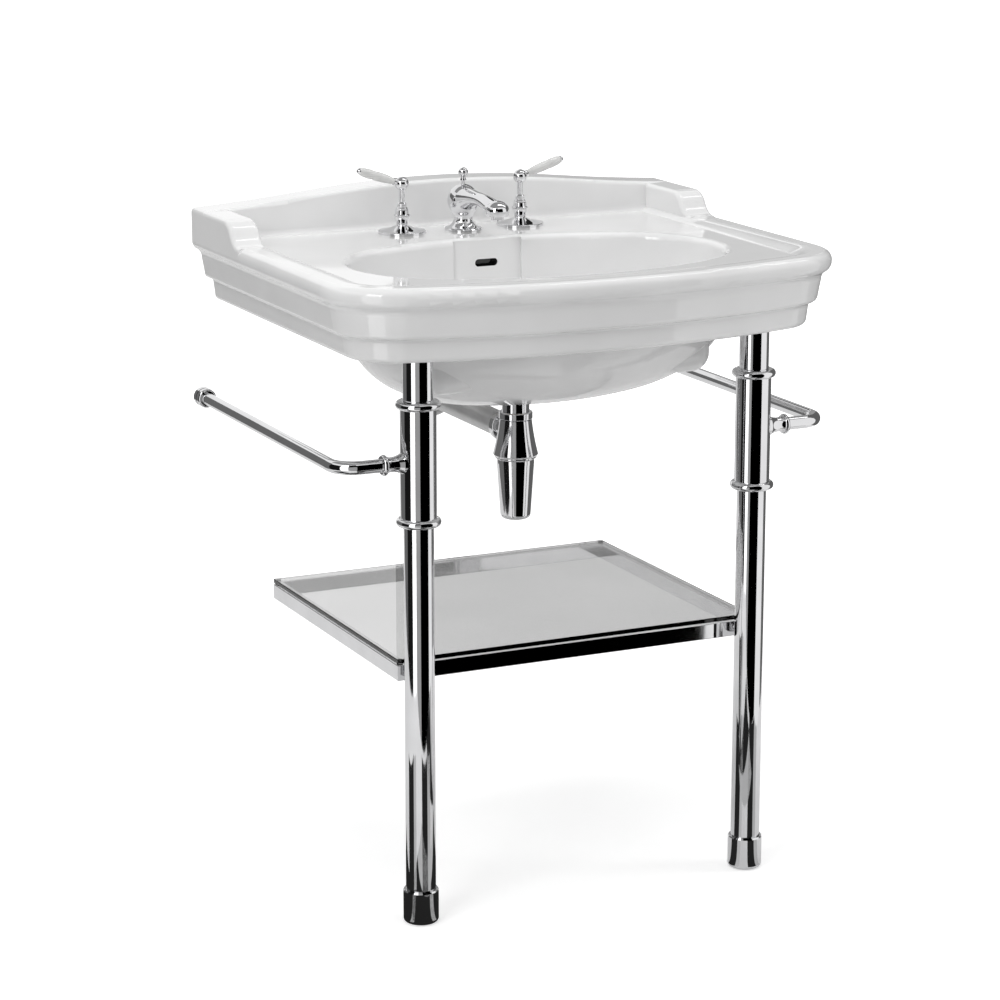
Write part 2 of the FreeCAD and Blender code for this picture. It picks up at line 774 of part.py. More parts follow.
def bowl_mouth():
    """Everything that the bowl takes out of the deck: the open oval, and the rounded lip round it."""
    lip = size("bowl_lip")
    low = size("deck_height - bowl_lip")
    half_width, half_reach, middle_y, _ = bowl_place(0, 0, low, low)
    up = Vector(0, 0, 1)
    plate = Part.Face(oval(half_width - lip, half_reach - lip, middle_y, low - lip)).extrude(up * 3 * lip)
    rings = []
    for centre, radius, first, sweep in oval_arcs(half_width, half_reach, middle_y, low):

        def at(outward, upward):
            return centre + Vector(radius + outward, 0, upward)

        section = closed_face(
            arc_about(at(lip, 0), at(0, 0), at(lip, lip)),
            at(lip, 2 * lip),
            at(-2 * lip, 2 * lip),
            at(-2 * lip, 0),
        )
        rings.append(section.rotated(centre, up, first).revolve(centre, up, sweep))
    return [plate] + rings


def overflow_panel():
    """The flat strip down the back of the bowl that carries the overflow slot."""
    curve = []
    for angle in BOWL_STEPS[:-1]:
        _, half_reach, middle_y, height = bowl_place(angle, 0, size("deck_height - bowl_lip"),
                                                     size("bowl_floor"))
        set_back = size("panel_set_back") * math.cos(math.radians(angle))
        curve.append(Vector(-size("panel_width / 2"), middle_y + half_reach + set_back, height))
    back = Part.BSplineCurve()
    back.interpolate(curve)
    front_y = curve[-1].y - size("bowl_floor_reach")
    face = closed_face(
        back.toShape(),
        Vector(curve[0].x, front_y, curve[-1].z),
        Vector(curve[0].x, front_y, curve[0].z + size("bowl_lip * 0.7")),
        Vector(curve[0].x, curve[0].y, curve[0].z + size("bowl_lip * 0.7")),
        curve[0],
    )
    return face.extrude(Vector(size("panel_width"), 0, 0))


def overflow_slot():
    """A level slot with round ends, cut into the panel."""
    _, half_reach, middle_y, top = bowl_place(0, 0, size("deck_height"), size("bowl_floor"))
    radius = size("overflow_height / 2")
    half = size("(overflow_width - overflow_height) / 2")
    y = middle_y + half_reach - radius
    z = size("deck_height - overflow_below_deck")
    face = closed_face(
        Part.Arc(Vector(half, y, z - radius), Vector(half + radius, y, z),
                 Vector(half, y, z + radius)).toShape(),
        Part.Arc(Vector(-half, y, z + radius), Vector(-half - radius, y, z),
                 Vector(-half, y, z - radius)).toShape(),
    )
    return face.extrude(Vector(0, size("overflow_depth") + radius, 0))


def upstand():
    """The wall along the back, its top drawn as a long serpentine, with rounded edges."""
    half = size("basin_width / 2")
    top = size("deck_height + upstand_centre_rise")
    turn_x = size("serpentine_turn")
    turn_z = size("deck_height + upstand_centre_rise - serpentine_dip")
    corner_z = size("deck_height + upstand_corner_rise")
    front = size("wall_y - upstand_thickness")
    low = size("deck_height + rim_rise - rim_rounding") - size("running_gap")
    # The centre arc's slope where it ends is kept by the side arcs, which flatten to the corners.
    centre_radius = (turn_x ** 2 + (top - turn_z) ** 2) / (2 * (top - turn_z))
    slope = math.asin(turn_x / centre_radius)
    run = half - turn_x
    middle_z = turn_z + (corner_z - turn_z) / 4 - run / 4 * math.tan(slope)
    face = closed_face(
        Vector(-half, front, low),
        Part.Arc(Vector(-half, front, corner_z), Vector(-(half + turn_x) / 2, front, middle_z),
                 Vector(-turn_x, front, turn_z)).toShape(),
        Part.Arc(Vector(-turn_x, front, turn_z), Vector(0, front, top),
                 Vector(turn_x, front, turn_z)).toShape(),
        Part.Arc(Vector(turn_x, front, turn_z), Vector((half + turn_x) / 2, front, middle_z),
                 Vector(half, front, corner_z)).toShape(),
        Vector(half, front, low),
    )
    solid = face.extrude(Vector(0, size("upstand_thickness"), 0))
    upper = [e for e in solid.Edges if e.BoundBox.ZMin > corner_z - 1 and not on_wall(e)]
    return solid.makeFillet(size("upstand_rounding"), upper)


def on_wall(edge):
    """Whether an edge lies wholly in the wall's plane."""
    return edge.BoundBox.YMin > size("wall_y") - 1e-3


def wing(sign):
    """The arm that runs forward from the upstand along one side, and swoops down to the rim."""
    side = sign * size("basin_width / 2")
    corner_z = size("deck_height + upstand_corner_rise")
    rim_z = size("deck_height + rim_rise")
    low = size("deck_height + rim_rise - rim_rounding") - size("running_gap")
    wall = size("wall_y")
    start_y = size("wall_y - wing_length")
    end_y = size("wall_y - wing_length - wing_drop_length")
    drop = corner_z - rim_z
    radius = ((start_y - end_y) ** 2 + drop ** 2) / (4 * drop)
    middle = Vector(side, (start_y + end_y) / 2, (corner_z + rim_z) / 2)
    face = closed_face(
        Vector(side, wall, low),
        Vector(side, wall, corner_z),
        arc_about(Vector(side, start_y, corner_z - radius), Vector(side, start_y, corner_z), middle),
        arc_about(Vector(side, end_y, rim_z + radius), middle, Vector(side, end_y, rim_z)),
        Vector(side, end_y, low),
    )
    solid = face.extrude(Vector(-sign * size("wing_thickness"), 0, 0))
    upper = [e for e in solid.Edges if e.BoundBox.ZMin > rim_z - 1 and abs(e.BoundBox.XLength) < 1e-3]
    return solid.makeFillet(size("upstand_rounding"), upper)


def cove(corner, along, out, up):
    """A hollow corner fillet: a prism with one concave side, laid into an inner corner."""
    radius = size("upstand_cove")
    under = size("running_gap") * 10
    high = corner + up * radius
    wide = corner + out * radius
    face = closed_face(
        arc_about(corner + (out + up) * radius, high, wide),
        wide - up * under,
        corner - up * under - out * under,
        high - out * under,
    )
    return face.extrude(along)


def box():
    """The body under the deck that runs back from the bowl to the wall, its lower edges rounded."""
    front = size("wall_y - box_front_from_wall")
    low = size("deck_height - box_bottom_below_deck")
    width = size("box_width")
    reach = size("box_front_from_wall")
    tall = size("deck_underside + running_gap * 10") - low
    solid = Part.makeBox(width, reach, tall, Vector(-width / 2, front, low))
    lower = []
    for edge in solid.Edges:
        box_ = edge.BoundBox
        if box_.ZMax < low + 1e-3 and not on_wall(edge):
            lower.append(edge)
        if box_.ZLength > 1 and box_.YMax < front + 1e-3:
            lower.append(edge)
    return solid.makeFillet(size("box_rounding"), lower)


def upright_hole(diameter, x, y, low, high):
    """A round cutter standing between two heights."""
    return Part.makeCylinder(size(diameter) / 2, high - low, Vector(x, y, low))


def make_basin():
    """The moulded basin: one ceramic piece with its bowl, holes, sockets and the space for the fittings."""
    deck = size("deck_height")
    past = size("deck_thickness")
    deck_low = size("deck_underside")
    bowl_low = size("bowl_floor")
    under = size("underside")
    wall = size("wall_y")

    first, *ring = moulding()
    plate_edge = plan_edges(size("rim_width - bowl_lip"))
    plate = closed_face(*plate_edge).extrude(Vector(0, 0, past))
    plate.translate(Vector(0, 0, deck_low))
    solids = ring + [plate, upstand(), box()]
    solids.append(bowl(size("bowl_wall"), deck - size("running_gap") * 10, under))
    front = Vector(0, size("wall_y - upstand_thickness"), deck)
    inner = size("basin_width / 2 - wing_thickness")
    solids.append(cove(front - Vector(inner, 0, 0), Vector(2 * inner, 0, 0), Vector(0, -1, 0),
                       Vector(0, 0, 1)))
    for sign in (-1, 1):
        solids.append(wing(sign))
        leg = Vector(sign * size("leg_spacing / 2"), size("leg_y"), 0)
        solids.append(upright_hole("leg_boss_diameter", leg.x, leg.y, size("leg_top"), deck_low + 1))
    whole = first.multiFuse(solids)

    cuts = bowl_mouth() + [bowl(0, size("deck_height - bowl_lip"), bowl_low), overflow_panel(),
                           overflow_slot()]
    pocket_side = size("box_width / 2 - box_wall")
    pocket_front = size("wall_y - box_pocket_from_wall")
    pocket_back = wall - size("box_wall")
    cuts.append(Part.makeBox(2 * pocket_side, pocket_back - pocket_front, deck_low - under,
                             Vector(-pocket_side, pocket_front, under)))
    for sign in (-1, 1):
        cuts.append(upright_hole("tap_hole", sign * size("tap_spacing / 2"), size("tap_y"),
                                 deck_low - past, deck + past))
        leg = Vector(sign * size("leg_spacing / 2"), size("leg_y"), 0)
        socket_top = size("leg_top + stud_length + slip_fit")
        cuts.append(upright_hole("stud_diameter + slip_fit", leg.x, leg.y, under, socket_top))
        cuts.append(upright_hole("leg_diameter + 2 * slip_fit", leg.x, leg.y, under, size("leg_top")))
        bolt = Vector(sign * size("wall_bolt_spacing / 2"), pocket_front,
                      size("deck_height - wall_bolt_below_deck"))
        cuts.append(Part.makeCylinder(size("wall_bolt_hole / 2"), wall - pocket_front + past, bolt,
                                      Vector(0, 1, 0)))
    cuts.append(upright_hole("tap_hole", 0, size("spout_y"), deck_low - past, deck + past))
    cuts.append(upright_hole("waste_hole", 0, size("drain_y"), under - past, bowl_low + past))
    recess_top = under + size("waste_recess_depth")
    cuts.append(upright_hole("waste_recess", 0, size("drain_y"), under - past, recess_top))
    return of_shape("basin", whole.cut(cuts).removeSplitter())


def notched(body, name, role, across, along, radius):
    """Cuts a cylinder's seat into a piece, so that it sits saddle-wise on a round neighbour."""
    bore(body, role, name, (across, along, radius), both_ways=True)
    return body


# ---------------------------------------------------------------- shelf


def frame_rectangle(sketch, half_x, front, back):
    """A rectangle in a sketch, held by three rules."""
    corners = [(f"-1 * ({half_x})", front), (half_x, front), (half_x, back), (f"-1 * ({half_x})", back)]
    draw_outline(sketch, corners)


def make_shelf():
    """The rectangular frame, its glass on four bumpers, and the stubs that tie it to legs and wall."""
    frame = new_body("shelf_frame", ("0", "0", "shelf_bottom"))
    outer = new_sketch(frame, "XY_Plane", "shelf_frame_outer")
    frame_rectangle(outer, "shelf_width / 2", "shelf_front_y", "shelf_back_y")
    slab = frame.newObject("PartDesign::Pad", "shelf_frame_slab")
    slab.Profile = outer
    slab.setExpression("Length", bound("shelf_bar_height"))
    doc.recompute()
    opening = new_sketch(frame, "XY_Plane", "shelf_frame_opening")
    frame_rectangle(opening, "shelf_width / 2 - shelf_bar_width", "shelf_front_y + shelf_bar_width",
                    "shelf_back_y - shelf_bar_width")
    before = frame.Shape.Volume
    cut = frame.newObject("PartDesign::Pocket", "shelf_frame_cut")
    cut.Profile = opening
    cut.Type = "ThroughAll"
    cut.Reversed = True
    doc.recompute()
    if not frame.Shape.Volume < before / 2:
        raise ValueError("the shelf frame has no opening")
    rounded = frame.newObject("PartDesign::Fillet", "shelf_frame_edges")
    long_edges = [f"Edge{n}" for n,
                  e in enumerate(cut.Shape.Edges, start=1) if e.Length > size("shelf_depth / 2")]
    rounded.Base = (cut, long_edges)
    rounded.setExpression("Radius", bound("shelf_bar_rounding"))
    outer.Visibility = False
    opening.Visibility = False
    yield frame

    glass = new_body("shelf_glass", ("0", "0", "glass_bottom"))
    plan = new_sketch(glass, "XY_Plane", "shelf_glass_plan")
    frame_rectangle(plan, "shelf_width / 2", "shelf_front_y", "shelf_back_y")
    pane = glass.newObject("PartDesign::Pad", "shelf_glass_pane")
    pane.Profile = plan
    pane.setExpression("Length", bound("glass_thickness"))
    doc.recompute()
    polished = glass.newObject("PartDesign::Fillet", "shelf_glass_edges")
    polished.Base = (pane, [f"Edge{n}" for n in range(1, len(pane.Shape.Edges) + 1)])
    polished.setExpression("Radius", bound("glass_rounding"))
    plan.Visibility = False
    yield glass

    bumpers, stubs, pegs = [], [], []
    for side, sign in SIDES.items():
        bumper_x = f"{sign} * (shelf_width / 2 - shelf_bar_width / 2)"
        for end, y in (("front", "shelf_front_y + shelf_bar_width / 2"),
                       ("back", "shelf_back_y - shelf_bar_width / 2")):
            bumpers.append(rod(f"{side}_{end}_bumper", "bumper_diameter / 2", "0", "bumper_height",
                               (bumper_x, y, "shelf_top")))
        middle_z = "shelf_bottom + shelf_bar_height / 2"
        stub = rod(f"{side}_front_stub", "shelf_stub_diameter / 2", "leg_radius / 2",
                   "leg_radius + shelf_gap_at_leg",
                   (f"{sign} * leg_spacing / 2", "leg_y", middle_z), ALONG_Y)
        stubs.append(notched(stub, f"{side}_stub_seat", "XZ_Plane", "0", "0", "leg_radius"))
        pegs.append(rod(f"{side}_wall_peg", "shelf_stub_diameter / 2", "0", "shelf_gap_at_wall",
                        (f"{sign} * leg_spacing / 2", "shelf_back_y", middle_z), ALONG_Y))
    yield group("shelf_bumpers", bumpers)
    yield group("shelf_front_stubs", stubs)
    yield group("shelf_wall_pegs", pegs)


# ---------------------------------------------------------------- valves


def make_valve(side, sign):
    """One tap: the flange and bonnet on the deck, the valve below it, and the lever that turns on top."""
    place = (f"{sign} * tap_spacing / 2", "tap_y", "deck_height")
    stem = "stem_diameter / 2"
    stem_bore = "stem_diameter / 2 + running_gap"
    flange = "valve_flange_diameter / 2"
    yield turned(f"{side}_valve_flange", [
        (stem_bore, "0"),
        (flange, "0"),
        (flange, "valve_flange_rim - 1", "1"),
        (f"{flange} - 1", "valve_flange_rim"),
        (f"{flange} - 3", "valve_flange_rim", "-9 * valve_flange_rise"),
        ("valve_flange_top / 2", "valve_flange_rise"),
        (stem_bore, "valve_flange_rise"),
    ], place)

    foot = "valve_flange_rise"
    bulge = f"{foot} + bonnet_height"
    yield turned(f"{side}_valve_bonnet", [
        (stem_bore, foot),
        ("bonnet_base / 2", foot),
        ("bonnet_ring / 2 - 0.6", f"{foot} + bonnet_height * 0.45", "bonnet_height * 0.7"),
        ("bonnet_ring / 2", f"{foot} + bonnet_height * 0.47"),
        ("bonnet_ring / 2", f"{foot} + bonnet_height * 0.54"),
        ("bonnet_waist / 2", f"{foot} + bonnet_height * 0.57"),
        ("bonnet_waist / 2 - 0.5", f"{foot} + bonnet_height * 0.76", "bonnet_height"),
        ("bonnet_crown / 2", f"{foot} + bonnet_height * 0.79"),
        ("bonnet_crown / 2", f"{foot} + bonnet_height * 0.86"),
        ("bonnet_top / 2", f"{foot} + bonnet_height * 0.89"),
        ("bonnet_top / 2", bulge),
        (stem_bore, bulge),
    ], place)

    ball = "ball_diameter / 2"
    meeting = "sqrt((ball_diameter ^ 2 - stem_diameter ^ 2) / 4)"
    skirt = f"{bulge} + running_gap"
    yield turned(f"{side}_lever_stem", [
        ("0", "-0.35 * valve_tail_length"),
        (stem, "-0.35 * valve_tail_length"),
        (stem, skirt),
        (f"{stem} + 2", skirt),
        (f"{stem} + 2", f"{skirt} + 1.5"),
        (stem, f"{skirt} + 4"),
        (stem, f"stem_height - {meeting}", ball),
        ("0", f"stem_height + {ball}"),
    ], place)

    ball_place = (place[0], place[1], "deck_height + stem_height")
    outward = 90 - size("lever_rise_angle")
    lean = Rotation(Vector(0, 1, 0), outward if size(sign) > 0 else -outward)
    start = "grip_start"
    end = "lever_length - lever_tip_length"
    pin = "grip_start_diameter / 4"
    collar = "grip_start_diameter / 2 + 1"
    seat = f"sqrt(({ball}) ^ 2 - ({collar}) ^ 2)"
    yield turned(f"{side}_lever_spindle", [
        ("0", ball, f"-1 * ({ball})"),
        (collar, seat),
        (collar, start),
        (pin, start),
        (pin, end),
        ("grip_end_diameter / 2", end),
        ("grip_end_diameter / 2", f"{end} + 1", dome("grip_end_diameter / 2", "lever_tip_length - 1")),
        ("0", "lever_length"),
    ], ball_place, lean)
    widest = f"{start} + ({end} - {start}) * 0.8"
    yield turned(f"{side}_lever_grip", [
        (pin, start),
        ("grip_start_diameter / 2", start, "9 * grip_start"),
        ("grip_diameter / 2 - 0.35", f"{widest} - 9", "lever_length / 2"),
        ("grip_diameter / 2 - 0.3", f"{widest} + 3", "lever_length / 5"),
        ("grip_end_diameter / 2", end),
        (pin, end),
    ], ball_place, lean)

    body = "valve_thread / 2"
    yield turned(f"{side}_valve_body", [
        ("0", "-1 * valve_tail_length"),
        (f"{body} - 4", "-1 * valve_tail_length"),
        (f"{body} - 4", "-0.75 * valve_tail_length"),
        (body, "-0.75 * valve_tail_length"),
        (body, "0"),
        (stem_bore, "0"),
        (stem_bore, "-0.35 * valve_tail_length - running_gap"),
        ("0", "-0.35 * valve_tail_length - running_gap"),
    ], place)


def hexagon_nut(label, across, bore_radius, low, high, place):
    """A six-sided nut with its corners turned off, drawn from its width across the flats."""
    body = new_body(label, place)
    plan = new_sketch(body, "XY_Plane", label + "_plan")
    plan.setExpression("AttachmentOffset.Base.z", bound(low))
    corner = f"({across}) / 2 / cos(30)"
    corners = [(f"({corner}) * cos({60 * n})", f"({corner}) * sin({60 * n})") for n in range(6)]
    draw_outline(plan, corners)
    add_circle(plan, "0", "0", bore_radius)
    solid = body.newObject("PartDesign::Pad", label + "_solid")
    solid.Profile = plan
    solid.setExpression("Length", bound(f"({high}) - ({low})"))
    plan.Visibility = False
    return body


def make_valve_nuts():
    """Nuts that clamp the two valves and the spout to the deck, and the pipes between them."""
    nuts = []
    links = []
    nut_low = "-1 * deck_thickness - lock_nut_height"
    pipe_y = "(tap_y + spout_y) / 2"
    for side, sign in SIDES.items():
        place = (f"{sign} * tap_spacing / 2", "tap_y", "deck_height")
        nuts.append(hexagon_nut(f"{side}_valve_nut", "lock_nut_diameter", "valve_thread / 2", nut_low,
                                "-1 * deck_thickness", place))
        outward = ALONG_X if size(sign) > 0 else ALONG_MINUS_X
        pipe = rod(f"{side}_link_pipe", "link_pipe_diameter / 2", "shank_diameter / 3",
                   "tap_spacing / 2 - valve_thread / 3",
                   ("0", pipe_y, "deck_height - link_pipe_below_deck"), outward)
        notched(pipe, f"{side}_link_inner_seat", "YZ_Plane", "-1 * spout_forward / 2", "0",
                "shank_diameter / 2")
        links.append(notched(pipe, f"{side}_link_outer_seat", "YZ_Plane", "spout_forward / 2",
                             "tap_spacing / 2",
                             "valve_thread / 2"))
    yield group("valve_nuts", nuts)
    yield group("link_pipes", links)
    yield hexagon_nut("spout_nut", "lock_nut_diameter * 0.9", "shank_diameter / 2", nut_low,
                      "-1 * deck_thickness", ("0", "spout_y", "deck_height"))


# ---------------------------------------------------------------- spout


def make_spout():
    """The cast spout: a waisted foot, a high bulb, and a short arm that ends in a domed nose."""
    deck = Vector(0, size("spout_y"), size("deck_height"))
    waist = size("spout_waist_diameter / 2")
    waist_z = size("spout_waist_rise")
    foot = size("spout_flange_diameter / 2")
    rim = size("spout_flange_rim")
    bulb = size("spout_bulb_diameter / 2")
    bulb_z = size("spout_bulb_rise")
    top_z = size("spout_top_rise")

    def at(out, up):
        return deck + Vector(out, 0, up)

    crown_rise = top_z - bulb_z
    belly = Part.BSplineCurve()
    belly.interpolate([at(foot - 2, rim), at(waist * 1.2, waist_z * 0.55), at(waist, waist_z),
                       at(bulb * 0.82, bulb_z * 0.7), at(bulb, bulb_z),
                       at(bulb * 0.9, bulb_z + crown_rise * 0.42),
                       at(bulb * 0.62, bulb_z + crown_rise * 0.78),
                       at(bulb * 0.3, bulb_z + crown_rise * 0.95), at(0, top_z)])
    profile = closed_face(at(0, 0), at(foot, 0), at(foot, rim - 1), at(foot - 1, rim), at(foot - 2, rim),
                          belly.toShape())
    shaft = profile.revolve(deck, Vector(0, 0, 1), 360)

    reach = size("spout_reach")
    nose = size("spout_nose_diameter / 2")
    arm_z = size("spout_arm_rise")
    half_high = size("spout_arm_height / 2")
    sections = []
    # Share of the reach, half width, half height and middle height of the arm's oval sections.
    for share, half_width, half_height, middle in (
        (0, bulb * 0.85, bulb * 0.8, bulb_z),
        (0.16, bulb * 0.75, half_high * 1.65, arm_z - half_high * 0.35),
        (0.32, bulb * 0.6, half_high * 1.15, arm_z),
        (0.5, bulb * 0.55, half_high, arm_z + half_high * 0.05),
        (0.68, nose * 0.8, half_high * 0.95, arm_z - half_high * 0.2),
        (0.86, nose * 0.94, half_high * 0.95, arm_z - half_high * 0.45),
    ):
        centre = deck + Vector(0, -reach * share, middle)
        ellipse = Part.Ellipse(centre + Vector(max(half_width, half_height), 0, 0),
                               centre + Vector(0, 0, half_height), centre)
        if half_height > half_width:
            ellipse = Part.Ellipse(centre + Vector(0, 0, half_height), centre + Vector(half_width, 0, 0),
                                   centre)
        sections.append(Part.Wire(ellipse.toShape()))
    arm = Part.makeLoft(sections, True, False)

    nose_axis = deck + Vector(0, -reach + nose, 0)
    nose_low = size("spout_nose_bottom")
    crown_z = size("spout_nose_crown")
    girth_z = nose_low + (crown_z - nose_low) * 0.35

    def near(out, up):
        return nose_axis + Vector(out, 0, up)

    dome = Part.BSplineCurve()
    rise = crown_z - girth_z
    dome.interpolate([near(nose - 1.5, nose_low), near(nose, girth_z), near(nose * 0.93, girth_z + rise * 0.37),
                      near(nose * 0.7, girth_z + rise * 0.71), near(nose * 0.38, girth_z + rise * 0.93),
                      near(0, crown_z)])
    cap = closed_face(near(0, nose_low), dome.toShape())
    whole = shaft.multiFuse([arm, cap.revolve(nose_axis, Vector(0, 0, 1), 360)])
    cuts = [
        Part.makeCylinder(size("lift_rod_bore / 2"), top_z * 2, deck - Vector(0, 0, 1)),
        Part.makeCylinder(size("aerator_diameter / 2"), nose_low / 2, nose_axis + Vector(0, 0, nose_low - 1)),
    ]
    yield of_shape("spout_body", whole.cut(cuts).removeSplitter())

    nose_place = ("0", "spout_y - spout_reach + spout_nose_diameter / 2", "deck_height + spout_nose_bottom")
    tip = "aerator_diameter / 2"
    yield turned("aerator", [
        (f"{tip} - 1.5", "-1 * aerator_drop"),
        (f"{tip} - 0.8", "-1 * aerator_drop"),
        (tip, "-0.8 * aerator_drop"),
        (tip, "spout_nose_bottom / 2 - 1"),
        ("0", "spout_nose_bottom / 2 - 1"),
        ("0", "-0.5 * aerator_drop"),
        (f"{tip} - 1.5", "-0.5 * aerator_drop"),
    ], nose_place)
    place = ("0", "spout_y", "deck_height")
    yield tube("spout_shank", "shank_diameter / 2", "lift_rod_bore / 2", "-1 * shank_length", "0", place)

    yield rod("lift_rod", "lift_rod_diameter / 2", "lift_rod_low - deck_height",
              "knob_rise - knob_diameter * 0.3", place)
    rod_radius = "lift_rod_diameter / 2"
    knob = "knob_diameter / 2"
    yield turned("lift_knob", [
        (rod_radius, f"knob_rise - {knob} - 4"),
        (f"{rod_radius} + 1.7", f"knob_rise - {knob} - 4"),
        (f"{rod_radius} + 1.2", f"knob_rise - {knob} - 1.5"),
        (f"{rod_radius} + 1.2", f"knob_rise - sqrt(({knob}) ^ 2 - ({rod_radius} + 1.2) ^ 2)", knob),
        ("0", f"knob_rise + {knob}"),
        ("0", "knob_rise - knob_diameter * 0.3"),
        (rod_radius, "knob_rise - knob_diameter * 0.3"),
    ], place)


# ---------------------------------------------------------------- pop-up waste


def make_popup():
    """The linkage from the lift rod to the plug, and the waste that it works in."""
    # At rest the pivot rod hangs a little below level at its outer end, and the plug stands open.
    strap_hole_z = "pivot_z - pivot_reach * tan(pivot_rod_slope)"
    strap = new_body("lift_strap", ("0", "strap_y", "0"))
    face = new_sketch(strap, "XZ_Plane", "lift_strap_face")
    strap_low = f"({strap_hole_z}) - strap_width * 0.7"
    strap_back = "lift_rod_diameter / 2 + strap_thickness"
    draw_outline(face, [("-1 * strap_width / 2", strap_low), ("strap_width / 2", strap_low),
                        ("strap_width / 2", "strap_top"), ("-1 * strap_width / 2", "strap_top")])
    add_circle(face, "0", strap_hole_z, "strap_hole / 2")
    face.setExpression("AttachmentOffset.Base.z", bound(f"-1 * ({strap_back})"))
    plate = strap.newObject("PartDesign::Pad", "lift_strap_plate")
    plate.Profile = face
    plate.setExpression("Length", bound("strap_thickness"))
    doc.recompute()
    block = new_sketch(strap, "XY_Plane", "lift_strap_block")
    block.setExpression("AttachmentOffset.Base.z", bound("lift_rod_low"))
    half = "strap_width / 2"
    draw_outline(block, [(f"-1 * {half}", f"-1 * {half}"), (half, f"-1 * {half}"),
                         (half, strap_back), (f"-1 * {half}", strap_back)])
    add_circle(block, "0", "0", "lift_rod_diameter / 2")
    clamp = strap.newObject("PartDesign::Pad", "lift_strap_clamp")
    clamp.Profile = block
    clamp.setExpression("Length", bound("strap_block"))
    yield strap

    pivot_place = ("0", "pivot_y", "pivot_z")
    lean = Rotation(Vector(1, 0, 0), -90 - size("pivot_rod_slope"))
    bar = "pivot_rod_diameter / 2"
    ball = "pivot_ball / 2"
    meeting = "sqrt((pivot_ball ^ 2 - pivot_rod_diameter ^ 2) / 4)"
    yield turned("pivot_rod", [
        ("0", "-1 * (pivot_from_drain + plug_stem / 2)"),
        (bar, "-1 * (pivot_from_drain + plug_stem / 2)"),
        (bar, f"-1 * {meeting}", ball),
        (bar, meeting),
        (bar, "pivot_reach + strap_block"),
        ("0", "pivot_reach + strap_block"),
    ], pivot_place, lean)

    tail = "waste_tail / 2"
    start = "waste_tail / 2 - pivot_from_drain"
    yield turned("pivot_nut", [
        ("pivot_ball / 2 + running_gap", start),
        ("pivot_nut_diameter / 2", start),
        ("pivot_nut_diameter / 2", f"{start} + pivot_nut_length - 1.5"),
        ("pivot_nut_diameter / 2 - 1.5", f"{start} + pivot_nut_length"),
        ("pivot_ball / 2 + running_gap", f"{start} + pivot_nut_length"),
    ], pivot_place, ALONG_Y)

    drain = ("0", "drain_y", "0")
    floor = "bowl_floor"
    inner = "waste_bore / 2"
    thread = "waste_thread / 2"
    seat = "plug_diameter / 2 + 1"
    waste = turned("waste_body", [
        (inner, "trap_nut_top - 1.4 * trap_nut_height"),
        (tail, "trap_nut_top - 1.4 * trap_nut_height"),
        (tail, "underside"),
        (thread, "underside"),
        (thread, floor),
        ("waste_flange_diameter / 2", floor),
        ("waste_flange_diameter / 2 - waste_flange_rise", f"{floor} + waste_flange_rise"),
        (seat, f"{floor} + waste_flange_rise"),
        (f"{seat} - 0.4", f"{floor} - 1"),
        (inner, f"{floor} - 4"),
    ], drain)
    bore(waste, "XZ_Plane", "waste_pivot_hole", ("0", "pivot_z", "pivot_ball / 2 + running_gap"))
    if waste.Shape.isInside(Vector(0, size(f"drain_y + {tail} - 1"), size("pivot_z")),
                            size("running_gap"), True):
        raise ValueError("the waste has no hole behind it for the pivot rod")
    yield waste

    open_z = f"{floor} - 1 + running_gap + plug_lift"
    stem = "plug_stem / 2"
    # The stem rests on the rod's far edge when open, and on its near edge when closed.
    open_foot = f"(pivot_from_drain + {stem}) * tan(pivot_rod_slope) + ({bar}) / cos(pivot_rod_slope)"
    closed_foot = f"plug_lift - (pivot_from_drain - {stem}) * tan(closed_slope) + ({bar}) / cos(closed_slope)"
    foot = f"pivot_z + running_gap + max({open_foot}; {closed_foot})"
    yield turned("plug", [
        ("0", foot),
        (stem, foot),
        (stem, f"{open_z} - plug_stem"),
        ("plug_diameter * 0.36", f"{open_z} - 3"),
        ("plug_diameter * 0.36", open_z),
        ("plug_diameter / 2", open_z),
        ("plug_diameter / 2", f"{open_z} + plug_lip", dome("plug_diameter / 2", "plug_dome")),
        ("0", f"{open_z} + plug_lip + plug_dome"),
    ], drain)

    recess_top = "underside + waste_recess_depth"
    yield tube("waste_washer", "waste_nut_diameter / 2", thread, f"{recess_top} - waste_washer_height",
               recess_top, drain)
    nut_top = f"{recess_top} - waste_washer_height"
    yield tube("waste_nut", "waste_nut_diameter / 2", thread, "underside", nut_top, drain)


# ---------------------------------------------------------------- bottle trap


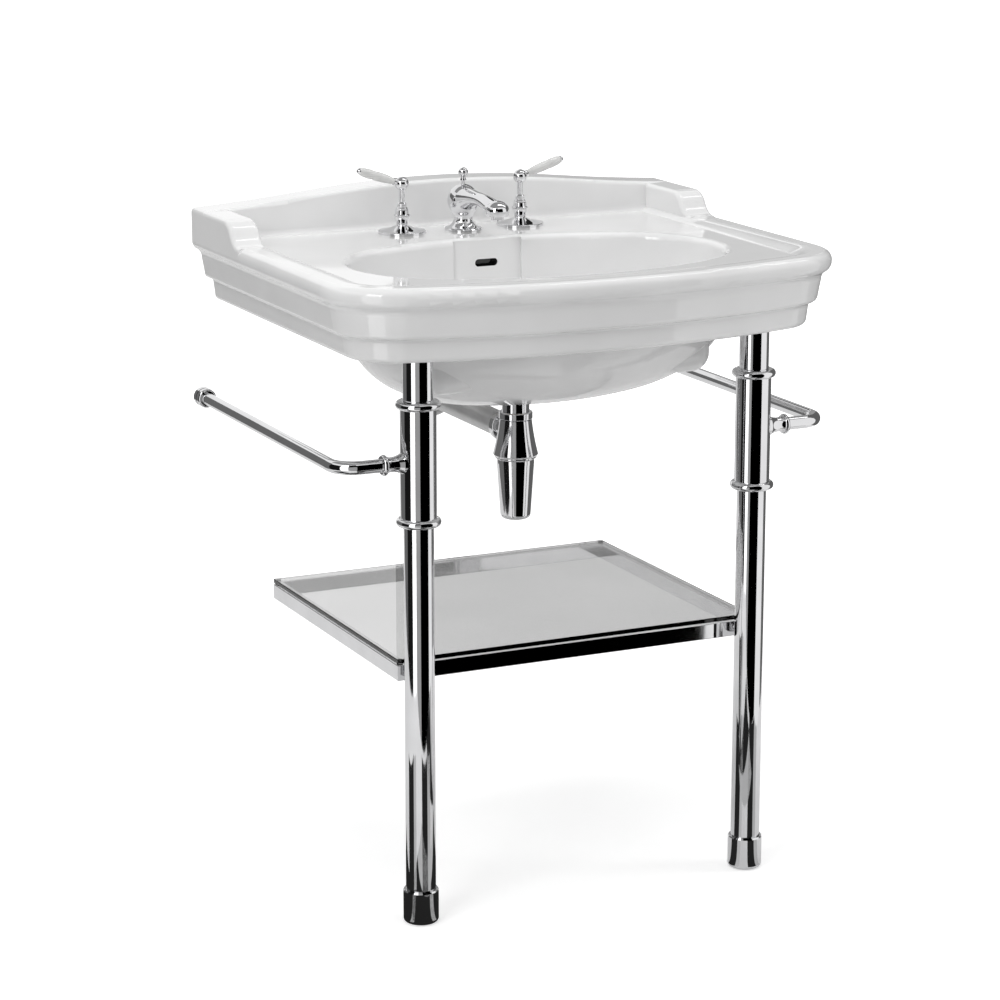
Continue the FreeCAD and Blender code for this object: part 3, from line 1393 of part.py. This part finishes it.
def make_trap():
    """The bottle trap under the waste, and the pipe from it to the wall."""
    drain = ("0", "drain_y", "0")
    tail = "waste_tail / 2"
    nut = "trap_nut_diameter / 2"
    yield turned("trap_top_nut", [
        (tail, "trap_cone_top"),
        (f"{nut} - 2", "trap_cone_top"),
        (nut, "trap_cone_top + 2"),
        (nut, "trap_nut_top - 2", "2"),
        (f"{nut} - 2", "trap_nut_top"),
        (tail, "trap_nut_top"),
    ], drain)

    top = "trap_cone_top_diameter / 2"
    wide = "trap_cone_diameter / 2"
    low = "cup_top_diameter / 2"
    # The cone swells as it falls, then rounds in to the neck that the cup screws into.
    shoulder = "trap_cone_bottom + trap_cone_rounding * 0.6"
    body = turned("trap_body", [
        (tail, "trap_cone_top"),
        (top, "trap_cone_top", "6 * trap_cone_height"),
        (wide, f"{shoulder} + trap_cone_rounding", "trap_cone_rounding"),
        (f"{wide} - trap_cone_rounding / 2", shoulder),
        (low, "trap_cone_bottom"),
        (f"{low} - trap_wall * 2", "trap_cone_bottom"),
        (f"{wide} - trap_wall * 2.2", f"{shoulder} + trap_cone_rounding"),
        (f"{top} - trap_wall * 0.5", "trap_cone_top - trap_wall"),
        (tail, "trap_cone_top - trap_wall"),
    ], drain)
    doc.recompute()
    stub_end = "outlet_nut_from_axis + outlet_nut_length / 2"
    stub_start = "cup_bottom_diameter / 2"
    ring = new_sketch(body, "XZ_Plane", "trap_outlet_ring")
    add_circle(ring, "0", "outlet_height", "outlet_diameter / 2")
    ring.setExpression("AttachmentOffset.Base.z", bound(f"-1 * ({stub_end})"))
    stub = body.newObject("PartDesign::Pad", "trap_outlet_stub")
    stub.Profile = ring
    stub.setExpression("Length", bound(f"{stub_end} - {stub_start}"))
    doc.recompute()
    way = new_sketch(body, "XZ_Plane", "trap_outlet_way")
    add_circle(way, "0", "outlet_height", "outlet_diameter / 2 - trap_wall")
    way.setExpression("AttachmentOffset.Base.z", bound(f"-1 * ({stub_end})"))
    before = body.Shape.Volume
    cut = body.newObject("PartDesign::Pocket", "trap_outlet_bore")
    cut.Profile = way
    cut.Length = size(stub_end)
    cut.setExpression("Length", bound(stub_end))
    cut.Reversed = True
    doc.recompute()
    if not body.Shape.Volume < before - size("outlet_diameter ^ 2"):
        raise ValueError("the trap's outlet is not open")
    yield body

    tail_end = "trap_nut_top - 1.4 * trap_nut_height"
    yield tube("trap_dip_tube", tail, "waste_bore / 2", "cup_top - cup_height * 0.55", tail_end, drain)

    cup_low = "cup_bottom_diameter / 2"
    yield turned("trap_cup", [
        ("0", "cup_bottom"),
        (f"{cup_low} - cup_rounding", "cup_bottom", "cup_rounding"),
        (cup_low, "cup_bottom + cup_rounding"),
        (low, "cup_top - 5"),
        (low, "cup_top + running_gap"),
        (f"{low} - trap_wall", "cup_top + running_gap"),
        (f"{cup_low} - trap_wall", "cup_bottom + cup_rounding"),
        (f"{cup_low} - cup_rounding", "cup_bottom + trap_wall"),
        ("0", "cup_bottom + trap_wall"),
    ], drain)

    outlet = ("0", "drain_y", "outlet_height")
    nut_start = "outlet_nut_from_axis"
    nut_end = "outlet_nut_from_axis + outlet_nut_length"
    grip = "outlet_nut_diameter / 2"
    yield turned("outlet_nut", [
        ("outlet_diameter / 2", nut_start),
        (f"{grip} - 1.5", nut_start, "2"),
        (grip, f"{nut_start} + 1.5"),
        (grip, f"{nut_end} - 1.5", "2"),
        (f"{grip} - 1.5", nut_end),
        ("outlet_diameter / 2", nut_end),
    ], outlet, ALONG_Y)
    yield tube("outlet_pipe", "outlet_diameter / 2", "outlet_diameter / 2 - trap_wall", stub_end,
               "drain_from_wall",
               outlet, ALONG_Y)
    plate = "escutcheon_diameter / 2"
    yield turned("outlet_escutcheon", [
        ("outlet_diameter / 2", "drain_from_wall - escutcheon_depth"),
        ("outlet_diameter / 2 + 3", "drain_from_wall - escutcheon_depth", "escutcheon_depth * 1.05"),
        (plate, "drain_from_wall - 2"),
        (plate, "drain_from_wall"),
        ("outlet_diameter / 2", "drain_from_wall"),
    ], outlet, ALONG_Y)


def main():
    """Builds every piece, checks it, and writes one STEP file for each."""
    fill_sheet()
    pieces = [make_basin()]
    for side, sign in SIDES.items():
        pieces += make_leg(side, sign)
        pieces += make_rail(side, sign)
        pieces += make_valve(side, sign)
    pieces += make_leg_small_parts()
    pieces += make_shelf()
    pieces += make_valve_nuts()
    pieces += make_spout()
    pieces += make_popup()
    pieces += make_trap()
    doc.recompute()
    for thing in doc.Objects:
        if {"Invalid", "Error"} & set(thing.State):
            raise ValueError(f"{thing.Label} did not build: {thing.State}")
    os.makedirs("parts", exist_ok=True)
    for piece in pieces:
        if piece.Shape.isNull() or not piece.Shape.isValid():
            raise ValueError(piece.Label + " has no valid shape")
        piece.Shape.exportStep(f"parts/{piece.Label}.step")
        print(f"{piece.Label}: {len(piece.Shape.Solids)} solid(s), {piece.Shape.Volume / 1000:.1f} cm3")


main()
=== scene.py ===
# %% [markdown]
# # A console sink on two chrome legs
# The sink is built elsewhere as a solid model, piece by piece. This lesson dresses it for a
# picture: it gives every piece a finish, sets the camera where the photographer stood, and
# lights the whole softly in front of a white background.

# %% Load the sink
import math

import bpy
import numpy as np
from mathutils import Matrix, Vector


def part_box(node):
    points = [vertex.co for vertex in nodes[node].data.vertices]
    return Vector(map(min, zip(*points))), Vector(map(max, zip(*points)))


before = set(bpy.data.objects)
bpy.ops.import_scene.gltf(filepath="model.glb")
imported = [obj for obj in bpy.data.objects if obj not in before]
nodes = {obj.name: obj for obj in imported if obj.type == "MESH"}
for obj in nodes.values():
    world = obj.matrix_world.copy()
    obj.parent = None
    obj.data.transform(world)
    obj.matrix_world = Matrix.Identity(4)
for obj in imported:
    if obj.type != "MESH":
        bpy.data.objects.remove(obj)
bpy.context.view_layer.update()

# %% [markdown]
# ## The camera
# The picture was taken from the left of the sink, from above its rim, with a long lens, so
# far edges are hardly smaller than near ones. A camera could be aimed with a constraint, but
# a place and two angles are easier to read and to repeat, so this one is turned by given angles.
# A new camera looks straight down. It is tipped up until it looks below the horizon by its
# pitch, and then turned to the right by its yaw. Places are in metres, angles in degrees.

# %% Place the camera
CAMERA_PLACE = (-1.7086, -3.5624, 1.4449)
CAMERA_YAW = 25.17
CAMERA_PITCH = 13.66
LENS_MM = 110.7
lens = bpy.data.cameras.new("photo_camera")
lens.lens = LENS_MM
camera = bpy.data.objects.new("photo_camera", lens)
camera.location = CAMERA_PLACE
camera.rotation_euler = (math.radians(90 - CAMERA_PITCH), 0, math.radians(-CAMERA_YAW))
bpy.context.scene.collection.objects.link(camera)
bpy.context.scene.camera = camera
print("camera height", CAMERA_PLACE[2], "m, lens", LENS_MM, "mm")

# %% [markdown]
# ## Small helpers for materials
# A material in Blender is a graph of nodes. Building the graph in Python keeps it in one
# readable place. `add_node` makes a node and fills its sockets, `wire` joins two sockets, and
# `calculate` makes a Math node from its operation and its terms.

# %% Node helpers
def add_node(tree, kind, **sockets):
    """Makes a node of a kind. A name like Base_Color fills the socket called Base Color."""
    node = tree.nodes.new(kind)
    for name, value in sockets.items():
        node.inputs[name.replace("_", " ")].default_value = value
    return node


def wire(tree, source, target):
    """Joins an output socket to an input socket."""
    tree.links.new(source, target)


def calculate(tree, operation, *terms):
    """The result of a Math node. Each term is a number or another node's output socket."""
    node = tree.nodes.new("ShaderNodeMath")
    node.operation = operation
    for socket, term in zip(node.inputs, terms):
        if isinstance(term, bpy.types.NodeSocket):
            wire(tree, term, socket)
        else:
            socket.default_value = term
    return node.outputs[0]


# %% [markdown]
# ## Effects that several finishes share
# Real glaze and real plating are never perfectly even. Two effects are used again and again,
# so each is a node group with its own inputs: a slow waviness of the surface, which bends
# reflections a little, and faint marks from wiping, which change how sharp they are. Both
# read Object coordinates, so a pattern stays on its piece and has a size in metres.

# %% An empty group
def new_group(name, inputs, outputs):
    """A node group with float inputs (name, value) and outputs, and its two end nodes."""
    group = bpy.data.node_groups.new(name, "ShaderNodeTree")
    for label, value in inputs:
        socket = group.interface.new_socket(label, in_out="INPUT", socket_type="NodeSocketFloat")
        socket.default_value = value
    for label in outputs:
        group.interface.new_socket(label, in_out="OUTPUT", socket_type="NodeSocketFloat")
    return group, group.nodes.new("NodeGroupInput"), group.nodes.new("NodeGroupOutput")


# %% [markdown]
# The waves are a slow noise, plus a share of a fine one that stands for the grain of the
# surface. The slow noise also comes out as a tone, so that colour can drift with the waves.

# %% The wavy surface
FINE_GRAIN = 900.0


def wavy_surface_group():
    """Height = slow noise + Fine x fine noise. Tone = the slow noise."""
    group, start, end = new_group("wavy surface", [("Scale", 20.0), ("Fine", 0.2)],
                                  ["Height", "Tone"])
    place = group.nodes.new("ShaderNodeTexCoord")
    slow = add_node(group, "ShaderNodeTexNoise", Detail=2.0, Roughness=0.4)
    fine = add_node(group, "ShaderNodeTexNoise", Scale=FINE_GRAIN, Detail=3.0)
    wire(group, place.outputs["Object"], slow.inputs["Vector"])
    wire(group, place.outputs["Object"], fine.inputs["Vector"])
    wire(group, start.outputs["Scale"], slow.inputs["Scale"])
    share = calculate(group, "MULTIPLY", fine.outputs["Fac"], start.outputs["Fine"])
    height = calculate(group, "ADD", slow.outputs["Fac"], share)
    wire(group, height, end.inputs["Height"])
    wire(group, slow.outputs["Fac"], end.inputs["Tone"])
    return group


WAVY = wavy_surface_group()
print("made the group", WAVY.name)

# %% [markdown]
# A cloth leaves patches, not dots. A noise is cut to its middle range, so that most of the
# surface is either clean or wiped, and it is stretched along the height of the piece.

# %% The wiping marks
DOWNWARD_STRETCH = (1.0, 1.0, 0.25)
CLEAN_BELOW = 0.4
WIPED_ABOVE = 0.7


def wiping_marks_group():
    """Roughness = Base + Spread x patches, where patches go from 0 to 1 over the noise."""
    group, start, end = new_group("wiping marks",
                                  [("Scale", 14.0), ("Base", 0.05), ("Spread", 0.05)],
                                  ["Roughness"])
    place = group.nodes.new("ShaderNodeTexCoord")
    stretch = group.nodes.new("ShaderNodeMapping")
    stretch.inputs["Scale"].default_value = DOWNWARD_STRETCH
    noise = add_node(group, "ShaderNodeTexNoise", Detail=5.0, Roughness=0.6)
    patches = add_node(group, "ShaderNodeMapRange", From_Min=CLEAN_BELOW, From_Max=WIPED_ABOVE)
    wire(group, place.outputs["Object"], stretch.inputs["Vector"])
    wire(group, stretch.outputs["Vector"], noise.inputs["Vector"])
    wire(group, start.outputs["Scale"], noise.inputs["Scale"])
    wire(group, noise.outputs["Fac"], patches.inputs["Value"])
    roughness = calculate(group, "MULTIPLY_ADD", patches.outputs["Result"],
                          start.outputs["Spread"], start.outputs["Base"])
    wire(group, roughness, end.inputs["Roughness"])
    return group


MARKS = wiping_marks_group()
print("made the group", MARKS.name)

# %% [markdown]
# ## The finishes
# Each finish starts from the same skeleton: a Principled shader, a bump from the wavy group
# and a roughness from the marks group. What differs is the colour, how metallic it is, and
# how strong the two effects are. A finish could be painted as a picture, but a graph needs no
# unwrapping and stays sharp however near the camera comes.

# %% The skeleton of a finish
DARK_BELOW = 0.3
LIGHT_ABOVE = 0.7
MARKS_PER_WAVE = 1.4


def add_group(tree, group, **sockets):
    """Places a shared group in a material with its own values."""
    node = tree.nodes.new("ShaderNodeGroup")
    node.node_tree = group
    for name, value in sockets.items():
        node.inputs[name].default_value = value
    return node


def new_finish(name, dark, light, wave_scale, wave_depth, rough, rough_spread, fine,
               **principled):
    """A material whose colour drifts between two tones with the slow waves of its surface."""
    material = bpy.data.materials.new(name)
    material.use_nodes = True
    tree = material.node_tree
    shader = tree.nodes["Principled BSDF"]
    for socket, value in principled.items():
        shader.inputs[socket.replace("_", " ")].default_value = value
    waves = add_group(tree, WAVY, Scale=wave_scale, Fine=fine)
    marks = add_group(tree, MARKS, Scale=wave_scale * MARKS_PER_WAVE, Base=rough,
                      Spread=rough_spread)
    tones = tree.nodes.new("ShaderNodeValToRGB")
    for stop, position, tone in zip(tones.color_ramp.elements, (DARK_BELOW, LIGHT_ABOVE),
                                    (dark, light)):
        stop.position = position
        stop.color = (*tone, 1)
    bump = add_node(tree, "ShaderNodeBump", Strength=1.0, Distance=wave_depth)
    wire(tree, waves.outputs["Tone"], tones.inputs["Fac"])
    wire(tree, tones.outputs["Color"], shader.inputs["Base Color"])
    wire(tree, waves.outputs["Height"], bump.inputs["Height"])
    wire(tree, bump.outputs["Normal"], shader.inputs["Normal"])
    wire(tree, marks.outputs["Roughness"], shader.inputs["Roughness"])
    return material


# %% [markdown]
# ### Glazed ceramic and porcelain
# Vitreous china is white clay under a thin glass glaze. It is modelled as one white body with
# a clear coat, because the glaze reflects like glass while the clay below scatters light. The
# glaze is a sprayed layer, so its waves are wide and shallow. The grips of the levers are
# small, so their waves are finer, and a little darker, so that they stand out from the basin.

# %% Ceramic and porcelain
ceramic = new_finish("white_glaze", dark=(0.80, 0.80, 0.80), light=(0.86, 0.86, 0.86),
                     wave_scale=9.0, wave_depth=0.0004, rough=0.04, rough_spread=0.03,
                     fine=0.01, IOR=1.5, Coat_Weight=0.3, Coat_Roughness=0.02)
porcelain = new_finish("lever_glaze", dark=(0.62, 0.62, 0.61), light=(0.70, 0.70, 0.69),
                       wave_scale=60.0, wave_depth=0.0001, rough=0.05, rough_spread=0.03,
                       fine=0.02, IOR=1.52, Coat_Weight=0.3, Coat_Roughness=0.02)
print("glazes:", ceramic.name, porcelain.name)

# %% [markdown]
# The overflow slot leads into a channel inside the basin, where shade falls. The ceramic's
# colour is mixed with near black painted shade by a mask that is 1 inside the slot only: each
# axis gives 1 where it lies within half a size of the slot's middle, and the product of the
# three is the slot. The solid has only the mouth of the channel, so the painted shade makes its
# walls and its end dark.

# %% Paint shade into the overflow slot
SLOT_MIDDLE = (0.0, 0.1234, 0.785)
SLOT_HALF = (0.0168, 0.0061, 0.0053)
# Near black painted shade for the slot, standing in for the shade inside its channel.
PAINTED_SLOT_SHADE = (0.012, 0.012, 0.012, 1)
tree = ceramic.node_tree
place = tree.nodes.new("ShaderNodeTexCoord")
split = tree.nodes.new("ShaderNodeSeparateXYZ")
wire(tree, place.outputs["Object"], split.inputs[0])
in_x, in_y, in_z = [calculate(tree, "COMPARE", split.outputs[axis], middle, half)
                    for axis, middle, half in zip("XYZ", SLOT_MIDDLE, SLOT_HALF)]
inside = calculate(tree, "MULTIPLY", calculate(tree, "MULTIPLY", in_x, in_y), in_z)
# Where the mask is 1, this Mix node paints shade over the glaze's colour.
shade = tree.nodes.new("ShaderNodeMix")
shade.data_type = "RGBA"
glaze = tree.nodes["Principled BSDF"].inputs["Base Color"]
outside_color, painted_shade_color = [socket for socket in shade.inputs if socket.type == "RGBA"]
mixed_color = [socket for socket in shade.outputs if socket.type == "RGBA"][0]
painted_shade_color.default_value = PAINTED_SLOT_SHADE
wire(tree, glaze.links[0].from_socket, outside_color)
wire(tree, inside, shade.inputs[0])
wire(tree, mixed_color, glaze)
print("slot mask: middle", SLOT_MIDDLE, "half size", SLOT_HALF, "m")

# %% [markdown]
# ### Chrome, brass, rubber and glass
# Chrome plate is a mirror with a slightly dark, cool colour. The waste's outlet pipe and its
# wall plate look duller in the photograph, so they have a satin plate. Brass nuts sit out of
# sight and stay unpolished, so they are rougher. Rubber is nearly black and matt. The shelf's
# glass is a clear sheet, and its grey tint shows where light passes through it.

# %% Metals, rubber and glass
chrome = new_finish("chrome_plate", dark=(0.72, 0.72, 0.73), light=(0.78, 0.78, 0.79),
                    wave_scale=25.0, wave_depth=0.00002, rough=0.035, rough_spread=0.03,
                    fine=0.02, Metallic=1.0)
satin = new_finish("satin_plate", dark=(0.50, 0.50, 0.50), light=(0.56, 0.56, 0.56),
                   wave_scale=40.0, wave_depth=0.00002, rough=0.30, rough_spread=0.06,
                   fine=0.1, Metallic=0.35)
brass = new_finish("rough_brass", dark=(0.46, 0.32, 0.13), light=(0.62, 0.45, 0.20),
                   wave_scale=40.0, wave_depth=0.0001, rough=0.30, rough_spread=0.15,
                   fine=0.3, Metallic=1.0)
rubber = new_finish("black_rubber", dark=(0.012, 0.012, 0.012), light=(0.03, 0.03, 0.03),
                    wave_scale=120.0, wave_depth=0.0002, rough=0.6, rough_spread=0.2, fine=0.6)
glass = new_finish("shelf_sheet", dark=(0.71, 0.71, 0.71), light=(0.75, 0.75, 0.75),
                   wave_scale=8.0, wave_depth=0.00001, rough=0.0, rough_spread=0.01,
                   fine=0.0, IOR=1.5, Transmission_Weight=1.0)
print("others:", [finish.name for finish in (chrome, satin, brass, rubber, glass)])

# %% [markdown]
# ## Dressing the pieces
# Every solid carries the name of a material slot. A table from slot to finish dresses most
# pieces at once, and the few that look different in the photograph are named one by one.

# %% Assign the finishes
FINISH_OF_SLOT = {"white_ceramic": ceramic, "lever_porcelain": porcelain, "chrome": chrome,
                  "plain_brass": brass, "rubber": rubber, "clear_glass": glass}
DULLER_PIECES = ("outlet_pipe", "outlet_escutcheon")
for name, piece in nodes.items():
    for slot in piece.material_slots:
        slot.material = FINISH_OF_SLOT[slot.material.name.split(".")[0]]
for name in DULLER_PIECES:
    nodes[name].material_slots[0].material = satin
print("dressed", len(nodes), "pieces,", len(DULLER_PIECES), "of them in satin plate")

# %% [markdown]
# ## The stage
# The photograph has a plain white background with no horizon. World and floor are therefore
# lit for the eye and not for the sink: a mask tells rays that end at a camera, in a mirror or
# behind glass from rays that only carry light onto things, and the latter get less.

# %% Helpers for stage pieces
def flat_sheet(name, corners, material):
    """One face between four corners, marked as part of the stage."""
    mesh = bpy.data.meshes.new(name)
    mesh.from_pydata(np.array(corners, dtype=float), [], [(0, 1, 2, 3)])
    mesh.materials.append(material)
    sheet = bpy.data.objects.new(name, mesh)
    bpy.context.scene.collection.objects.link(sheet)
    return sheet


def background_mask(tree):
    """1 for rays from the camera, off mirrors and through glass, and 0 for all others."""
    path = tree.nodes.new("ShaderNodeLightPath")
    seen_or_mirrored = calculate(tree, "MAXIMUM", path.outputs["Is Camera Ray"],
                                 path.outputs["Is Glossy Ray"])
    return calculate(tree, "MAXIMUM", seen_or_mirrored, path.outputs["Is Transmission Ray"])


# %% The white world
WORLD_FILL = 0.50
world = bpy.data.worlds.new("white_room")
world.use_nodes = True
bpy.context.scene.world = world
sky = world.node_tree
level = add_node(sky, "ShaderNodeMapRange", To_Min=WORLD_FILL, To_Max=1.0)
background = sky.nodes["Background"]
background.inputs["Color"].default_value = (1, 1, 1, 1)
wire(sky, background_mask(sky), level.inputs["Value"])
wire(sky, level.outputs["Result"], background.inputs["Strength"])
print("the world lights the sink at", WORLD_FILL, "and shows as 1.0")

# %% [markdown]
# The floor glows more with its distance from the sink until it melts into the white world.
# Near the legs it keeps some of its own shading, so the sink's shadow stays visible. A mirror
# sees it much darker than the camera does, as the floor of a studio is, because a white floor
# would make every leg white.

# %% The floor
FLOOR_HALF_SIZE = 30.0
FLOOR_TONE = (0.8, 0.8, 0.8, 1)
GLOW_NEAR, GLOW_FAR = 0.3, 2.5
GLOW_AT_LEGS = 0.5
FLOOR_IN_MIRRORS = 0.22
floor_finish = bpy.data.materials.new("white_floor")
floor_finish.use_nodes = True
tree = floor_finish.node_tree
shader = tree.nodes["Principled BSDF"]
shader.inputs["Base Color"].default_value = FLOOR_TONE
shader.inputs["Roughness"].default_value = 0.9
shader.inputs["Specular IOR Level"].default_value = 0.0
shader.inputs["Emission Color"].default_value = (1, 1, 1, 1)
place = tree.nodes.new("ShaderNodeTexCoord")
distance = tree.nodes.new("ShaderNodeVectorMath")
distance.operation = "LENGTH"
glow = add_node(tree, "ShaderNodeMapRange", From_Min=GLOW_NEAR, From_Max=GLOW_FAR,
                To_Min=GLOW_AT_LEGS, To_Max=1.0)
path = tree.nodes.new("ShaderNodeLightPath")
dim = add_node(tree, "ShaderNodeMapRange", To_Min=1.0, To_Max=FLOOR_IN_MIRRORS)
wire(tree, place.outputs["Object"], distance.inputs[0])
wire(tree, distance.outputs["Value"], glow.inputs["Value"])
wire(tree, path.outputs["Is Glossy Ray"], dim.inputs["Value"])
dimmed = calculate(tree, "MULTIPLY", glow.outputs["Result"], dim.outputs["Result"])
strength = calculate(tree, "MULTIPLY", dimmed, background_mask(tree))
wire(tree, strength, shader.inputs["Emission Strength"])
unit_square = np.array([(-1, -1, 0), (1, -1, 0), (1, 1, 0), (-1, 1, 0)])
flat_sheet("floor", FLOOR_HALF_SIZE * unit_square, floor_finish)
print("floor of", 2 * FLOOR_HALF_SIZE, "m, whose glow is full from", GLOW_FAR, "m on")

# %% [markdown]
# ## Cards for the chrome to mirror
# Chrome has no colour of its own: it shows the room. A studio hangs black and grey cards round
# shiny things, so that their edges stand out. Ours are seen by mirrors only. They cast no
# shadow and the camera looks straight through them. A card's tone is its brightness: 0 is
# black, 1 is the white of the background, and more than 1 is a lit window.

# %% Helpers for the cards
def mirror_card(name, corners, tone):
    """A card in one grey with four given corners, that only reflections see."""
    material = bpy.data.materials.new(name)
    material.use_nodes = True
    tree = material.node_tree
    tree.nodes.remove(tree.nodes["Principled BSDF"])
    light = add_node(tree, "ShaderNodeEmission", Color=(1, 1, 1, 1), Strength=tone)
    wire(tree, light.outputs[0], tree.nodes["Material Output"].inputs["Surface"])
    sheet = flat_sheet(name, corners, material)
    sheet.visible_camera = False
    sheet.visible_diffuse = False
    sheet.visible_shadow = False
    sheet.visible_transmission = False
    sheet.visible_volume_scatter = False
    return sheet


def upright_card(name, start, end, low, high, tone):
    """A card that stands over a line on the floor, between two heights."""
    (x0, y0), (x1, y1) = start, end
    corners = [(x0, y0, low), (x1, y1, low), (x1, y1, high), (x0, y0, high)]
    return mirror_card(name, corners, tone)


def level_card(name, start, end, height, tone):
    """A card that lies flat at one height, between two opposite corners."""
    (x0, y0), (x1, y1) = start, end
    corners = [(x0, y0, height), (x1, y0, height), (x1, y1, height), (x0, y1, height)]
    return mirror_card(name, corners, tone)


# %% [markdown]
# Most cards stand in a ring round the front and the sides, where neighbours share a corner,
# and two stand farther off behind. Black ones in front and at the left give the legs and the
# trap their dark cores, and white ones beside them give the bright streaks. A grey ceiling
# tones the tops of round pieces, and a narrow window just below it puts a bright streak on
# the deck.

# %% The ring of cards
LEFT_BACK = (-0.70, 2.30)
LEFT = (-1.30, 0.35)
LEFT_FRONT = (-1.20, -0.50)
FRONT_LEFT = (-0.95, -0.95)
FRONT = (-0.40, -0.93)
FRONT_RIGHT = (0.55, -0.82)
RIGHT_FRONT = (0.95, -0.30)
RIGHT = (1.20, 1.00)
HIGH_LEFT = (-1.00, -0.95)
upright_card("black_card_front", FRONT, FRONT_RIGHT, low=0.0, high=1.5, tone=0.0)
upright_card("white_card_front", FRONT_RIGHT, RIGHT_FRONT, low=0.0, high=1.5, tone=1.0)
upright_card("grey_card_front", FRONT_LEFT, FRONT, low=0.0, high=1.0, tone=0.38)
upright_card("black_card_high", HIGH_LEFT, FRONT, low=1.0, high=1.9, tone=0.01)
upright_card("white_card_left", LEFT_FRONT, FRONT_LEFT, low=0.0, high=1.3, tone=1.8)
upright_card("black_card_left", LEFT_FRONT, LEFT, low=0.0, high=1.3, tone=0.01)
upright_card("grey_card_left", LEFT, LEFT_BACK, low=0.0, high=1.5, tone=0.16)
upright_card("grey_card_right", RIGHT_FRONT, RIGHT, low=0.0, high=1.5, tone=0.14)
upright_card("grey_card_back", (0.50, 1.60), (2.60, 1.60), low=0.0, high=1.35, tone=0.35)
upright_card("black_card_back", (0.60, 1.40), (1.80, 1.30), low=1.35, high=2.1, tone=0.02)
level_card("grey_ceiling", (-1.6, -1.1), (2.6, 1.3), height=2.45, tone=0.32)
level_card("window_above", (0.10, -0.06), (2.6, 0.12), height=2.4, tone=5.0)

# %% [markdown]
# What a leg mirrors low down is the floor close to it. Cards on the floor, fanned out round
# each leg, carry the dark and pale bands down to the feet. Their place comes from the legs
# themselves: the middle of a tube's box, seen from above, is its axis.

# %% Find the legs
def upright_axis(node):
    """Where an upright round piece stands: half of its lowest plus its highest corner."""
    low, high = np.array(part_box(node))
    return (low[:2] + high[:2]) / 2


LEG_AXES = [upright_axis(f"{side}_leg_tube") for side in ("left", "right")]
print("legs stand at", LEG_AXES)

# %% The cards on the floor
WEDGE_NEAR = 0.03
WEDGE_FAR = 0.7
WEDGE_HEIGHT = 0.002


def floor_wedge(name, angles, tone):
    """Two cards, one for each leg: the floor between two angles and two distances."""
    turn = np.radians(angles)
    start, end = np.column_stack([np.cos(turn), np.sin(turn)])
    for leg in LEG_AXES:
        ring = leg + np.array([start * WEDGE_NEAR, start * WEDGE_FAR,
                               end * WEDGE_FAR, end * WEDGE_NEAR])
        mirror_card(name, np.column_stack([ring, np.full(len(ring), WEDGE_HEIGHT)]), tone)


floor_wedge("black_floor_left", (195, 150), tone=0.02)
floor_wedge("pale_floor_left", (214, 195), tone=0.55)
floor_wedge("black_floor_front", (300, 258), tone=0.02)
floor_wedge("pale_floor_right", (325, 300), tone=0.50)

# %% [markdown]
# ## Soft lights
# Three large soft boxes light the sink. The key, high at the front left, gives the rim its
# bright window. One at the right fills the far side, and one overhead lights the deck and the
# bowl. They are area lights, so their shadows are soft. Their power is kept low, because a
# white glaze soon turns into plain white without any form.

# %% The lights
def soft_box(name, place, aim, width, height, power):
    """A rectangular area light at a place, turned to face a point."""
    lamp = bpy.data.lights.new(name, "AREA")
    lamp.shape = "RECTANGLE"
    lamp.size = width
    lamp.size_y = height
    lamp.energy = power
    box = bpy.data.objects.new(name, lamp)
    box.location = place
    toward = np.array(aim) - np.array(place)
    level_distance = math.hypot(toward[0], toward[1])
    tilt = math.atan2(level_distance, -toward[2])
    box.rotation_euler = (tilt, 0, math.atan2(-toward[0], toward[1]))
    bpy.context.scene.collection.objects.link(box)
    return box


soft_box("key_box", (-2.4, -1.6, 2.4), aim=(0, 0, 0.75), width=1.2, height=1.8, power=30)
soft_box("right_box", (2.6, -1.2, 1.6), aim=(0, 0, 0.7), width=0.7, height=1.8, power=14)
soft_box("top_box", (0.0, 0.2, 3.0), aim=(0, 0, 0.8), width=2.0, height=1.6, power=24)
print("lights:", len(bpy.data.lights))

# %% [markdown]
# ## The picture's settings
# The Standard view shows a colour about as it is written.

# %% Picture settings
bpy.context.scene.view_settings.view_transform = "Standard"
